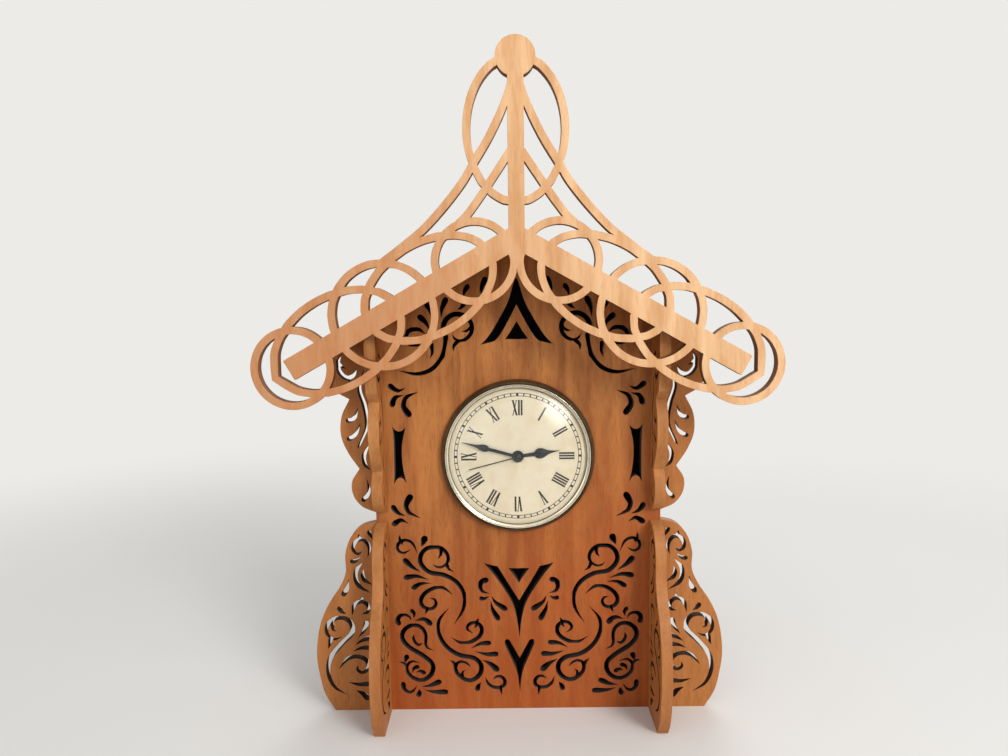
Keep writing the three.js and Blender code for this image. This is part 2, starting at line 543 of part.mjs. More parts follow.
// Wooden case
function frontPanel() {
  const outline = [[-HALF, 0], [HALF, 0], [HALF, underRoof(HALF)], [0, underRoof(0)],
    [-HALF, underRoof(HALF)]];
  const half = [...PANEL_SCROLLS.map(scroll), ...PANEL_LEAVES.map(leaf), SLOT];
  const chevrons = CHEVRONS.map((side) => {
    const inner = side.filter(([x]) => x > 0);
    return [...side, ...mirrored(inner)];
  });
  const fret = [...half, ...half.map(mirrored), ...chevrons];
  const cuts = fret.map((outline) => fitted(outline, GABLE_FOOT, underRoof));
  cuts.push(circle(0, DIAL_HEIGHT, HOLE_RADIUS));
  return board(outline, 0, STOCK).subtract(cutter(cuts, 0, STOCK));
}

function backingBoard() {
  const edge = HALF - STOCK - GLUE;
  const outline = [[-edge, STOCK + GLUE], [edge, STOCK + GLUE], [edge, underRoof(edge)],
    [0, underRoof(0)], [-edge, underRoof(edge)]];
  const hole = circle(0, DIAL_HEIGHT, HOLE_RADIUS);
  return board(outline, STOCK, STOCK + BACKING_THICKNESS, [hole]);
}

function sidePanel() {
  const inner = HALF - STOCK;
  const outline = [[inner, 0], [HALF, 0], [HALF, underRoof(HALF)], [inner, underRoof(inner)]];
  return board(outline, STOCK, CASE_BACK);
}

function basePanel() {
  const edge = HALF - STOCK - GLUE;
  return board(rectangle(-edge, 0, edge, STOCK), STOCK, CASE_BACK);
}

function roofPanel() {
  const eave = [EAVE_REACH, RIDGE_HEIGHT - EAVE_REACH * SLOPE];
  const across = [(STOCK / 2) * Math.sin(ROOF_PITCH), (STOCK / 2) * Math.cos(ROOF_PITCH)];
  const ridge = GLUE / 2;
  const outline = [
    [ridge, RIDGE_HEIGHT - ROOF_DROP - ridge * SLOPE],
    [eave[0] - across[0], eave[1] - across[1]],
    [eave[0] + across[0], eave[1] + across[1]],
    [ridge, RIDGE_HEIGHT + ROOF_DROP - ridge * SLOPE],
  ];
  return board(outline, ROOF_FRONT, ROOF_BACK);
}

// Bargeboard: a rafter on each side with woven rings and loops, and a spire with a finial disc
function rafterPoint(x) {
  return [x, RIDGE_HEIGHT - x * SLOPE];
}

function longLoop(x, pointed) {
  const [middleX, middleZ] = rafterPoint(x);
  return Array.from({ length: BAND_STEPS }, (_, i) => {
    const turn = (2 * Math.PI * i) / BAND_STEPS;
    const isTip = pointed && i === BAND_STEPS / 2;
    const along = isTip ? -LOOP_POINT : LOOP_LENGTH * Math.cos(turn);
    const up = LOOP_HEIGHT * Math.sin(turn);
    return [
      middleX - along * Math.cos(ROOF_PITCH) + up * Math.sin(ROOF_PITCH),
      middleZ + along * Math.sin(ROOF_PITCH) + up * Math.cos(ROOF_PITCH),
    ];
  }).reverse();
}

function rafter() {
  const end = rafterPoint(RAFTER_REACH);
  const across = [(RAFTER_WIDTH / 2) * Math.sin(ROOF_PITCH), (RAFTER_WIDTH / 2) * Math.cos(ROOF_PITCH)];
  const rise = RAFTER_WIDTH / 2 / Math.cos(ROOF_PITCH);
  return [
    [0, RIDGE_HEIGHT - rise],
    [end[0] - across[0], end[1] - across[1]],
    [end[0] + across[0], end[1] + across[1]],
    [0, RIDGE_HEIGHT + rise],
  ];
}

function bargeboard() {
  const half = (outline, hole) => {
    const holes = hole ? [hole] : [];
    return [
      board(outline, BARGE_FRONT, ROOF_FRONT, holes),
      board(mirrored(outline), BARGE_FRONT, ROOF_FRONT, holes.map(mirrored)),
    ];
  };
  const rings = RING_REACH.flatMap((reach, i) => {
    const [x, z] = rafterPoint(reach);
    const edge = (offset) => circle(x, z, RING_RADIUS[i] + offset, BAND_STEPS);
    return half(edge(BAND / 2), edge(-BAND / 2));
  });
  const loops = [0, 1].flatMap((i) => {
    const middle = (RING_REACH[i] + RING_REACH[i + 1]) / 2;
    return half(...bandEdges(longLoop(middle, i === 1), BAND));
  });
  const [loopWidth, loopHeight] = FINIAL_LOOP;
  const tallLoop = circle(0, 0, 1, BAND_STEPS).map(([x, z]) => (
    [x * loopWidth, FINIAL_LOOP_HEIGHT + z * loopHeight]
  ));
  const raised = (outline) => outline.map(([x, z]) => [x, z + RIDGE_SHIFT]);
  const spine = rectangle(-SPINE_WIDTH / 2, SPINE_FOOT, SPINE_WIDTH / 2, FINIAL_HEIGHT);
  const finial = circle(0, FINIAL_HEIGHT, FINIAL_RADIUS, BAND_STEPS);
  const [outer, inner] = bandEdges(raised(tallLoop), BAND);
  return joined([
    ...half(rafter()),
    ...rings,
    ...loops,
    ...half(raised(band(OUTER_LEG, BAND))),
    ...half(raised(band(INNER_LEG, BAND))),
    board(outer, BARGE_FRONT, ROOF_FRONT, [inner]),
    board(raised(spine), BARGE_FRONT, ROOF_FRONT),
    board(raised(finial), BARGE_FRONT, ROOF_FRONT),
  ]);
}

// Brackets, made flat with their root at x = 0 and their thickness from y = 0 to the stock
function footBracket() {
  const outline = [[0, 0], ...smooth(FOOT_EDGE)];
  const cuts = [...FOOT_SCROLLS.map(scroll), ...FOOT_LEAVES.map(leaf)];
  return board(outline, 0, STOCK).subtract(cutter(cuts, 0, STOCK));
}

function eaveBracket(topEdge, topAt) {
  const rows = [...EAVE_EDGES, topEdge].map(smooth);
  const drawnEdge = [...rows[0], ...rows[1].slice(1), ...rows[2].slice(1)];
  const edge = fitted(drawnEdge, EAVE_FOOT, topAt);
  const [reach] = edge[edge.length - 1];
  const outline = [...edge, [reach, topAt(reach)], [0, topAt(0)]];
  const fret = [...EAVE_SCROLLS.map(scroll), ...EAVE_LEAVES.map(leaf)];
  const cuts = fret.map((cut) => fitted(cut, EAVE_FOOT, topAt));
  return board(outline, 0, STOCK).subtract(cutter(cuts, 0, STOCK));
}

// Clock insert, made round the hands' axis with z = 0 there
function turned(profile, steps = CIRCLE_STEPS) {
  const points = [...profile, profile[0]].map(([r, y]) => new THREE.Vector2(r, y));
  return solidOf(new THREE.LatheGeometry(points, steps));
}

// A turned piece that lies along x
function lying(profile, x, y, z) {
  const points = [...profile, profile[0]].map(([r, along]) => new THREE.Vector2(r, along));
  const geometry = new THREE.LatheGeometry(points, TUBE_STEPS);
  geometry.rotateZ(-Math.PI / 2).translate(x, y, z);
  return solidOf(geometry);
}

function disc(radius, front, back, steps = CIRCLE_STEPS, x = 0, z = 0) {
  return board(circle(x, z, radius, steps), front, back);
}

function bezelRing() {
  const front = -BEZEL_DEPTH;
  const seat = DIAL_FACE - LENS_WALL - SLIDE_GAP * 2;
  return turned([
    [BEZEL_BORE, -SLIDE_GAP / 2],
    [BEZEL_BORE, seat],
    [LIP_RADIUS, seat],
    ...BEZEL_LIP.map(([reach, fall]) => [LIP_RADIUS + reach, front + fall]),
    ...BEZEL_SHOULDER.map(([reach, fall]) => [BEZEL_RADIUS - reach, front + fall]),
    [BEZEL_RADIUS, -SLIDE_GAP / 2],
  ]);
}

function lens() {
  const seat = DIAL_FACE - SLIDE_GAP;
  const rim = BEZEL_BORE - SLIDE_GAP;
  const dome = LIP_RADIUS - SLIDE_GAP * 2;
  const rise = (r) => -LENS_RISE * (1 - (r / dome) ** LENS_CURVE);
  const outer = LENS_RINGS.map((share) => [dome * share, seat - LENS_WALL + rise(dome * share)]);
  const inner = LENS_RINGS.map((share) => [
    (dome - LENS_WALL) * share,
    seat + rise((dome - LENS_WALL) * share),
  ]).reverse();
  return turned([
    [rim, seat],
    [rim, seat - LENS_WALL],
    [dome, seat - LENS_WALL],
    ...outer,
    ...inner,
    [dome - LENS_WALL, seat],
  ].reverse());
}

function dialPlate() {
  const back = DIAL_FACE + DIAL_THICKNESS;
  const hole = circle(0, 0, BUSH[0] + SLIDE_GAP, TUBE_STEPS).reverse();
  return board(circle(0, 0, BEZEL_BORE - SLIDE_GAP), DIAL_FACE, back, [hole]);
}

function insertCup() {
  const flangeFront = DIAL_FACE + DIAL_THICKNESS;
  const flangeBack = -SLIDE_GAP;
  const bore = CUP_RADIUS - CUP_WALL;
  const flange = BEZEL_BORE - SLIDE_GAP;
  const shell = turned([
    [bore, flangeFront],
    [flange, flangeFront],
    [flange, flangeBack],
    [CUP_RADIUS, flangeBack],
    [CUP_RADIUS, CUP_BACK],
    [0, CUP_BACK],
    [0, CUP_BACK - CUP_WALL],
    [bore, CUP_BACK - CUP_WALL],
  ]);
  const side = MOVEMENT_WIDTH / 2 - MOVEMENT_WALL;
  const window = board(
    rectangle(-side, -side, side, side - CUP_WINDOW_DROP),
    CUP_BACK - CUP_WALL - CUT_PAST,
    CUP_BACK + CUT_PAST,
  );
  return shell.subtract(window);
}

function gasketRing() {
  const inner = CUP_RADIUS + SLIDE_GAP / 2;
  const outer = HOLE_RADIUS - SLIDE_GAP;
  const back = STOCK - GASKET_INSET;
  return turned([[inner, GASKET_INSET], [outer, GASKET_INSET], [outer, back], [inner, back]]);
}

// Quartz movement
function movementOutline() {
  const side = MOVEMENT_WIDTH / 2;
  const corner = MOVEMENT_CORNER;
  return [[-side + corner, -side], [side - corner, -side], [side, -side + corner],
    [side, side - corner], [side - corner, side], [-side + corner, side], [-side, side - corner],
    [-side, -side + corner]];
}

function movementCase() {
  const side = MOVEMENT_WIDTH / 2;
  const inside = side - MOVEMENT_WALL;
  const trough = BATTERY_RADIUS + SLIDE_GAP * 2;
  const body = board(movementOutline(), MOVEMENT_FRONT, COVER_FRONT - SLIDE_GAP);
  const troughTop = -BATTERY_DROP + trough;
  const cavity = board(
    rectangle(-inside, troughTop + MOVEMENT_WALL, inside, inside - MOVEMENT_CORNER / 2),
    MOVEMENT_FRONT + MOVEMENT_WALL,
    COVER_FRONT + CUT_PAST,
  );
  const trench = board(
    rectangle(-inside, -BATTERY_DROP - trough, inside, troughTop),
    BATTERY_MIDDLE - trough,
    COVER_FRONT + CUT_PAST,
  );
  const floor = MOVEMENT_FRONT + MOVEMENT_WALL;
  const bush = disc(BUSH[0], DIAL_FACE - BUSH_RISE, floor, TUBE_STEPS);
  const bore = disc(BUSH[1], DIAL_FACE - CUT_PAST, floor + CUT_PAST, TUBE_STEPS);
  return body.subtract(cavity).subtract(trench).add(bush).subtract(bore);
}

function movementCover() {
  const side = MOVEMENT_WIDTH / 2;
  const inside = side - MOVEMENT_WALL;
  const bottom = -BATTERY_DROP + BATTERY_RADIUS + SLIDE_GAP * 2;
  const body = board(movementOutline(), COVER_FRONT, MOVEMENT_BACK);
  const below = board(
    rectangle(-side - CUT_PAST, -side - CUT_PAST, side + CUT_PAST, bottom),
    COVER_FRONT - CUT_PAST,
    MOVEMENT_BACK + CUT_PAST,
  );
  const cavity = board(
    rectangle(-inside, bottom + MOVEMENT_WALL, inside, inside - MOVEMENT_CORNER / 2),
    COVER_FRONT - CUT_PAST,
    MOVEMENT_BACK - MOVEMENT_WALL,
  );
  const postFront = STATOR_BACK + SLIDE_GAP / 2;
  const postBack = MOVEMENT_BACK - MOVEMENT_WALL / 2;
  const posts = STATOR_POSTS.map(([x, z]) => disc(POST_RADIUS, postFront, postBack, PIN_STEPS, x, z));
  const shaftHole = disc(
    ARBOR_RADIUS * 2,
    MOVEMENT_BACK - MOVEMENT_WALL - CUT_PAST,
    MOVEMENT_BACK + CUT_PAST,
    PIN_STEPS,
    ...MOTION_PLACE,
  );
  return joined([body.subtract(below).subtract(cavity), ...posts]).subtract(shaftHole);
}

// A toothed wheel with a tooth, or a gap, pointing at its mate
function gear(name, pitchRadius, front, place, mate, toothFirst) {
  const teeth = TEETH[name];
  const module = (2 * pitchRadius) / teeth;
  const tip = pitchRadius + TOOTH_TIP * module;
  const root = pitchRadius - TOOTH_ROOT * module;
  const towards = Math.atan2(mate[1] - place[1], mate[0] - place[0]);
  const start = towards + (toothFirst ? 0 : Math.PI / teeth);
  const outline = Array.from({ length: teeth * 2 }, (_, i) => {
    const turn = start + (Math.PI * i) / teeth;
    const radius = i % 2 === 0 ? tip : root;
    return [place[0] + radius * Math.cos(turn), place[1] + radius * Math.sin(turn)];
  });
  return board(outline, front, front + WHEEL_THICKNESS);
}

// Pitch radii of two meshing wheels from their teeth and the distance between their arbors
function pitchRadii(first, second, a, b) {
  const perTooth = Math.hypot(a[0] - b[0], a[1] - b[1]) / (TEETH[first] + TEETH[second]);
  return [perTooth * TEETH[first], perTooth * TEETH[second]];
}

function arbor(front, back, [x, z], radius = ARBOR_RADIUS) {
  return disc(radius, front, back, PIN_STEPS, x, z);
}

function secondWheel() {
  return joined([
    gear('secondWheel', SECOND_WHEEL_R, SECOND_LAYER, AXIS, INTERMEDIATE_PLACE, false),
    gear('secondPinion', SECOND_PINION_R, THIRD_LAYER, AXIS, THIRD_PLACE, true),
    arbor(SECOND_HAND_FRONT - SLIDE_GAP, ARBOR_BACK, AXIS, SECOND_ARBOR),
  ]);
}

function thirdWheel() {
  return joined([
    gear('thirdWheel', THIRD_WHEEL_R, THIRD_LAYER, THIRD_PLACE, AXIS, false),
    gear('thirdPinion', THIRD_PINION_R, CENTRE_LAYER, THIRD_PLACE, AXIS, true),
    arbor(ARBOR_FRONT, ARBOR_BACK, THIRD_PLACE),
  ]);
}

function centreWheel() {
  const back = CENTRE_LAYER + WHEEL_THICKNESS;
  const bore = disc(MINUTE_TUBE[1], MINUTE_HAND_FRONT - CUT_PAST, back + CUT_PAST, PIN_STEPS);
  return joined([
    gear('centreWheel', CENTRE_WHEEL_R, CENTRE_LAYER, AXIS, THIRD_PLACE, false),
    gear('cannonPinion', CANNON_R, MOTION_LAYER, AXIS, MOTION_PLACE, true),
    disc(MINUTE_TUBE[0], MINUTE_HAND_FRONT - SLIDE_GAP, back, TUBE_STEPS),
  ]).subtract(bore);
}

function motionWheel() {
  return joined([
    gear('motionWheel', MOTION_WHEEL_R, MOTION_LAYER, MOTION_PLACE, AXIS, false),
    gear('motionPinion', MOTION_PINION_R, HOUR_LAYER, MOTION_PLACE, AXIS, true),
    arbor(ARBOR_FRONT, MOVEMENT_BACK + KNOB[1] / 2, MOTION_PLACE),
  ]);
}

function hourWheel() {
  const back = HOUR_LAYER + WHEEL_THICKNESS;
  const bore = disc(HOUR_TUBE[1], HOUR_HAND_FRONT - CUT_PAST, back + CUT_PAST, TUBE_STEPS);
  return joined([
    gear('hourWheel', HOUR_WHEEL_R, HOUR_LAYER, AXIS, MOTION_PLACE, false),
    disc(HOUR_TUBE[0], HOUR_HAND_FRONT - SLIDE_GAP, back, TUBE_STEPS),
  ]).subtract(bore);
}

function intermediateWheel() {
  const place = INTERMEDIATE_PLACE;
  return joined([
    gear('intermediateWheel', INTERMEDIATE_WHEEL_R, ROTOR_LAYER, place, ROTOR_PLACE, false),
    gear('intermediatePinion', INTERMEDIATE_PINION_R, SECOND_LAYER, place, AXIS, true),
    arbor(ARBOR_FRONT, ARBOR_BACK, place),
  ]);
}

function rotor() {
  const magnetBack = MAGNET_LAYER + MAGNET[1];
  return joined([
    gear('rotorPinion', ROTOR_PINION_R, ROTOR_LAYER, ROTOR_PLACE, INTERMEDIATE_PLACE, true),
    disc(MAGNET[0], MAGNET_LAYER, magnetBack, TUBE_STEPS, ...ROTOR_PLACE),
    arbor(ARBOR_FRONT, ARBOR_BACK, ROTOR_PLACE),
  ]);
}

function stator() {
  const [x, z] = ROTOR_PLACE;
  const hole = circle(x, z, STATOR_HOLE, TUBE_STEPS);
  const outline = rectangle(STATOR_LEFT, STATOR_FOOT, STATOR_RIGHT, STATOR_TOP);
  return board(outline, STATOR_FRONT, STATOR_BACK, [hole]);
}

function coil() {
  const [flange, winding, cheek] = COIL;
  const profile = [[0, STATOR_LEFT], [flange, STATOR_LEFT], [flange, STATOR_LEFT + cheek],
    [winding, STATOR_LEFT + cheek], [winding, STATOR_RIGHT - cheek], [flange, STATOR_RIGHT - cheek],
    [flange, STATOR_RIGHT], [0, STATOR_RIGHT]];
  const height = STATOR_TOP + SLIDE_GAP + flange;
  return lying(profile, 0, STATOR_BACK - flange / 2, height);
}

function settingKnob() {
  const [x, z] = MOTION_PLACE;
  const outline = Array.from({ length: KNOB_RIBS * 2 }, (_, i) => {
    const turn = (Math.PI * i) / KNOB_RIBS;
    const radius = i % 2 === 0 ? KNOB[0] : KNOB[0] - KNOB_RIB_DEPTH;
    return [x + radius * Math.cos(turn), z + radius * Math.sin(turn)];
  });
  const front = MOVEMENT_BACK + TRAIN_GAP;
  const socketEnd = MOVEMENT_BACK + KNOB[1] / 2 + SLIDE_GAP;
  const socket = arbor(front - CUT_PAST, socketEnd, MOTION_PLACE, ARBOR_RADIUS + SLIDE_GAP / 2);
  return board(outline, front, front + KNOB[1]).subtract(socket);
}

function battery() {
  const half = BATTERY_LENGTH / 2;
  const [nubRadius, nubLength] = BATTERY_NUB;
  const shoulder = BATTERY_RADIUS - BATTERY_EDGE;
  const profile = [[0, -half], [shoulder, -half], [BATTERY_RADIUS, -half + BATTERY_EDGE],
    [BATTERY_RADIUS, half - BATTERY_EDGE], [shoulder, half], [nubRadius, half],
    [nubRadius, half + nubLength], [0, half + nubLength]];
  return lying(profile, -nubLength / 2, BATTERY_MIDDLE, -BATTERY_DROP);
}

function contactPlate(x) {
  const [half, depth] = CONTACT_REACH;
  const outline = rectangle(x, -BATTERY_DROP - half, x + CONTACT_THICKNESS, -BATTERY_DROP + half);
  return board(outline, BATTERY_MIDDLE - depth, COVER_FRONT - SLIDE_GAP);
}

function circuitBoard() {
  return board(rectangle(...BOARD_CORNERS), BOARD_BACK - BOARD_THICKNESS, BOARD_BACK);
}

function quartzCrystal() {
  const [radius, length] = CRYSTAL;
  const back = BOARD_BACK - BOARD_THICKNESS - SLIDE_GAP;
  return disc(radius, back - length, back, TUBE_STEPS, ...CRYSTAL_PLACE);
}

// Hands, pointing up at twelve
function hand(side, hubRadius, boreRadius, front) {
  const back = front + HAND_THICKNESS;
  const blade = [...side, ...mirrored(side.filter(([x]) => x > 0))];
  const hub = disc(hubRadius, front, back, HUB_STEPS);
  const bore = disc(boreRadius, front - CUT_PAST, back + CUT_PAST, TUBE_STEPS);
  return board(blade, front, back).add(hub).subtract(bore);
}

function part(name, solid, finish) {
  const mesh = new THREE.Mesh(geometryOf(solid), new THREE.MeshStandardMaterial(finish));
  mesh.name = name;
  return mesh;
}

function placed(mesh, x, y, turn) {
  mesh.position.set(x, y, 0);
  mesh.rotation.z = turn;
  return mesh;
}

// Assembly
const clock = new THREE.Group();
clock.add(
  part('front_panel', frontPanel(), WOOD),
  part('backing_board', backingBoard(), BLACK_CARD),
  part('right_side_panel', sidePanel(), WOOD),
  placed(part('left_side_panel', sidePanel(), WOOD), 0, CASE_BACK + STOCK, Math.PI),
  part('base_panel', basePanel(), WOOD),
  part('right_roof_panel', roofPanel(), WOOD),
  placed(part('left_roof_panel', roofPanel(), WOOD), 0, ROOF_BACK + ROOF_FRONT, Math.PI),
  part('bargeboard', bargeboard(), PALE_WOOD),
);

const sideTop = (reach) => underRoof(HALF + GLUE + reach);
const frontTop = () => underRoof(HALF);
const sideEave = () => eaveBracket(SIDE_EAVE_TOP, sideTop);
const frontEave = () => eaveBracket(FRONT_EAVE_TOP, frontTop);
const BRACKETS = [
  ['foot_bracket', footBracket, footBracket],
  ['eave_bracket', sideEave, frontEave],
];
BRACKETS.forEach(([name, sideways, forward]) => {
  clock.add(
    placed(part(`right_side_${name}`, sideways(), WOOD), HALF + GLUE, 0, 0),
    placed(part(`left_side_${name}`, sideways(), WOOD), -HALF - GLUE, STOCK, Math.PI),
    placed(part(`right_front_${name}`, forward(), WOOD), HALF - STOCK, -GLUE, -Math.PI / 2),
    placed(part(`left_front_${name}`, forward(), WOOD), -HALF, -GLUE, -Math.PI / 2),
  );
});

const insert = new THREE.Group();
insert.position.z = DIAL_HEIGHT;
insert.add(
  part('bezel_ring', bezelRing(), OLD_BRASS),
  part('lens', lens(), CLEAR),
  part('dial_plate', dialPlate(), CREAM),
  part('insert_cup', insertCup(), BLACK_PLASTIC),
  part('gasket_ring', gasketRing(), RUBBER),
  part('movement_case', movementCase(), BLACK_PLASTIC),
  part('movement_cover', movementCover(), BLACK_PLASTIC),
  part('circuit_board', circuitBoard(), GREEN_BOARD),
  part('quartz_crystal', quartzCrystal(), STEEL),
  part('coil', coil(), COPPER),
  part('stator', stator(), STEEL),
  part('rotor', rotor(), STEEL),
  part('intermediate_wheel', intermediateWheel(), WHITE_PLASTIC),
  part('second_wheel', secondWheel(), WHITE_PLASTIC),
  part('third_wheel', thirdWheel(), WHITE_PLASTIC),
  part('centre_wheel', centreWheel(), WHITE_PLASTIC),
  part('motion_wheel', motionWheel(), WHITE_PLASTIC),
  part('hour_wheel', hourWheel(), WHITE_PLASTIC),
  part('setting_knob', settingKnob(), BLACK_PLASTIC),
  part('battery', battery(), BLACK_PLASTIC),
  part('left_contact', contactPlate(LEFT_CONTACT), STEEL),
  part('right_contact', contactPlate(RIGHT_CONTACT), STEEL),
);
const HANDS = [
  ['hour_hand', HOUR_HAND, HUB_RADIUS.hour, HOUR_TUBE[0], HOUR_HAND_FRONT, HOUR_ANGLE],
  ['minute_hand', MINUTE_HAND, HUB_RADIUS.minute, MINUTE_TUBE[0], MINUTE_HAND_FRONT, MINUTE_ANGLE],
  ['second_hand', SECOND_HAND, HUB_RADIUS.second, SECOND_ARBOR, SECOND_HAND_FRONT, SECOND_ANGLE],
];
HANDS.forEach(([name, side, hubRadius, shaftRadius, front, angle]) => {
  const mesh = part(name, hand(side, hubRadius, shaftRadius + SLIDE_GAP / 2, front), BLACK_METAL);
  mesh.rotation.y = THREE.MathUtils.degToRad(angle);
  insert.add(mesh);
});
clock.add(insert);

// The origin is the middle of the footprint, on the surface that the clock stands on
const FRONT_MOST = -GLUE - Math.max(...FOOT_EDGE.map(([reach]) => reach));
clock.position.y = -(FRONT_MOST + ROOF_BACK) / 2;

export default clock;
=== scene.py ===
"""Looks of a fretwork mantel clock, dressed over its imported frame.

Lengths are in metres and +Z is up. The dial faces -Y, and each piece keeps its place in its mesh.
"""

from __future__ import annotations

import logging
import math
from collections import defaultdict
from dataclasses import dataclass, replace
from enum import Enum, IntEnum
from functools import cache, cached_property
from typing import Any, Iterable, Protocol, Sequence

import bmesh
import bpy
from mathutils import Euler, Matrix, Vector
from mathutils.geometry import delaunay_2d_cdt


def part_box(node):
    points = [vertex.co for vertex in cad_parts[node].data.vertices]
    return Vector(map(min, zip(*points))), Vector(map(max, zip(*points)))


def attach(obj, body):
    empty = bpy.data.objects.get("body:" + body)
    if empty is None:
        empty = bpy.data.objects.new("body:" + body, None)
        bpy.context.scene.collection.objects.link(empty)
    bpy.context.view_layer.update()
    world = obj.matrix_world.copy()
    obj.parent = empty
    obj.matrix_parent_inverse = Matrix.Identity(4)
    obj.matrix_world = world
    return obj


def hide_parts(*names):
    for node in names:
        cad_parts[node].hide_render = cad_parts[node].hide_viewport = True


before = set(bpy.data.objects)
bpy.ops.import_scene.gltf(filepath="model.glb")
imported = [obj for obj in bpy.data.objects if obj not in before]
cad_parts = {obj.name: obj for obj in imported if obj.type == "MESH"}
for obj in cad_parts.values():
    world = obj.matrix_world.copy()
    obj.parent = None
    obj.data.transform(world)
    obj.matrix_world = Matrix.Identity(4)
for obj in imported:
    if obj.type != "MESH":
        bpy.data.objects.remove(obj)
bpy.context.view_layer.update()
LOG = logging.getLogger("mantel_clock")
MM = 0.001
# How far print stands off the paper, in millimetres.
INK_HEIGHT = 0.03

Colour = tuple[float, float, float, float]
Triple = tuple[float, float, float]
Flat = tuple[float, float]


def seen(red: int, green: int, blue: int) -> Colour:
    """A colour as a screen shows it, each channel 0 to 255, as the linear colour that a shader takes.

    Args:
        red: Red channel.
        green: Green channel.
        blue: Blue channel.

    Returns:
        The linear colour, opaque.
    """

    def linear(channel: int) -> float:
        """One channel, linear."""
        share = channel / 255
        return share / 12.92 if share <= 0.04045 else ((share + 0.055) / 1.055) ** 2.4

    return (linear(red), linear(green), linear(blue), 1.0)


@dataclass(frozen=True)
class Value:
    """A node's output that arithmetic can be written with."""

    graph: "Graph"
    socket: bpy.types.NodeSocket

    def _math(self, operation: str, first: Any, second: Any) -> "Value":
        """The result of one Math node."""
        return self.graph.node("ShaderNodeMath", {"operation": operation}, {0: first, 1: second})

    def __add__(self, other: Any) -> "Value":
        """Sum."""
        return self._math("ADD", self, other)

    def __radd__(self, other: Any) -> "Value":
        """Sum, from the right."""
        return self._math("ADD", other, self)

    def __sub__(self, other: Any) -> "Value":
        """Difference."""
        return self._math("SUBTRACT", self, other)

    def __rsub__(self, other: Any) -> "Value":
        """Difference, from the right."""
        return self._math("SUBTRACT", other, self)

    def __mul__(self, other: Any) -> "Value":
        """Product."""
        return self._math("MULTIPLY", self, other)

    def __rmul__(self, other: Any) -> "Value":
        """Product, from the right."""
        return self._math("MULTIPLY", other, self)

    def step(self, low: float, high: float) -> "Value":
        """A smooth rise from 0 at low to 1 at high."""
        return self.graph.node(
            "ShaderNodeMapRange",
            {"interpolation_type": "SMOOTHSTEP"},
            {"Value": self, "From Min": low, "From Max": high},
        )


class Graph:
    """A node tree that is written as expressions."""

    def __init__(self, tree: bpy.types.NodeTree) -> None:
        """Starts with an empty tree.

        Args:
            tree: The tree that the nodes go in.
        """
        self.tree = tree
        tree.nodes.clear()

    @staticmethod
    def socket(sockets: Any, key: int | str) -> bpy.types.NodeSocket:
        """A socket by its place, its identifier or its name.

        Args:
            sockets: A node's inputs or outputs.
            key: Place, identifier or name.

        Returns:
            The socket.
        """
        if isinstance(key, int):
            return sockets[key]
        return next((s for s in sockets if s.identifier == key), None) or sockets[key]

    def node(
        self,
        kind: str,
        settings: dict[str, Any] | None = None,
        inputs: dict[int | str, Any] | None = None,
        output: int | str = 0,
    ) -> Value:
        """Adds a node.

        Args:
            kind: The node's type.
            settings: Its properties, set first.
            inputs: Values or links for its sockets.
            output: The output that is wanted.

        Returns:
            That output.
        """
        made = self.tree.nodes.new(kind)
        for key, value in (settings or {}).items():
            setattr(made, key, value)
        for key, value in (inputs or {}).items():
            self.feed(self.socket(made.inputs, key), value)
        found = self.socket(made.outputs, output) if len(made.outputs) else made.inputs[0]
        return Value(self, found)

    def feed(self, socket: bpy.types.NodeSocket, value: Any) -> None:
        """Sets a socket's value, or links it.

        Args:
            socket: The socket.
            value: A plain value, or another node's output.
        """
        if isinstance(value, Value):
            self.tree.links.new(value.socket, socket)
        else:
            socket.default_value = value


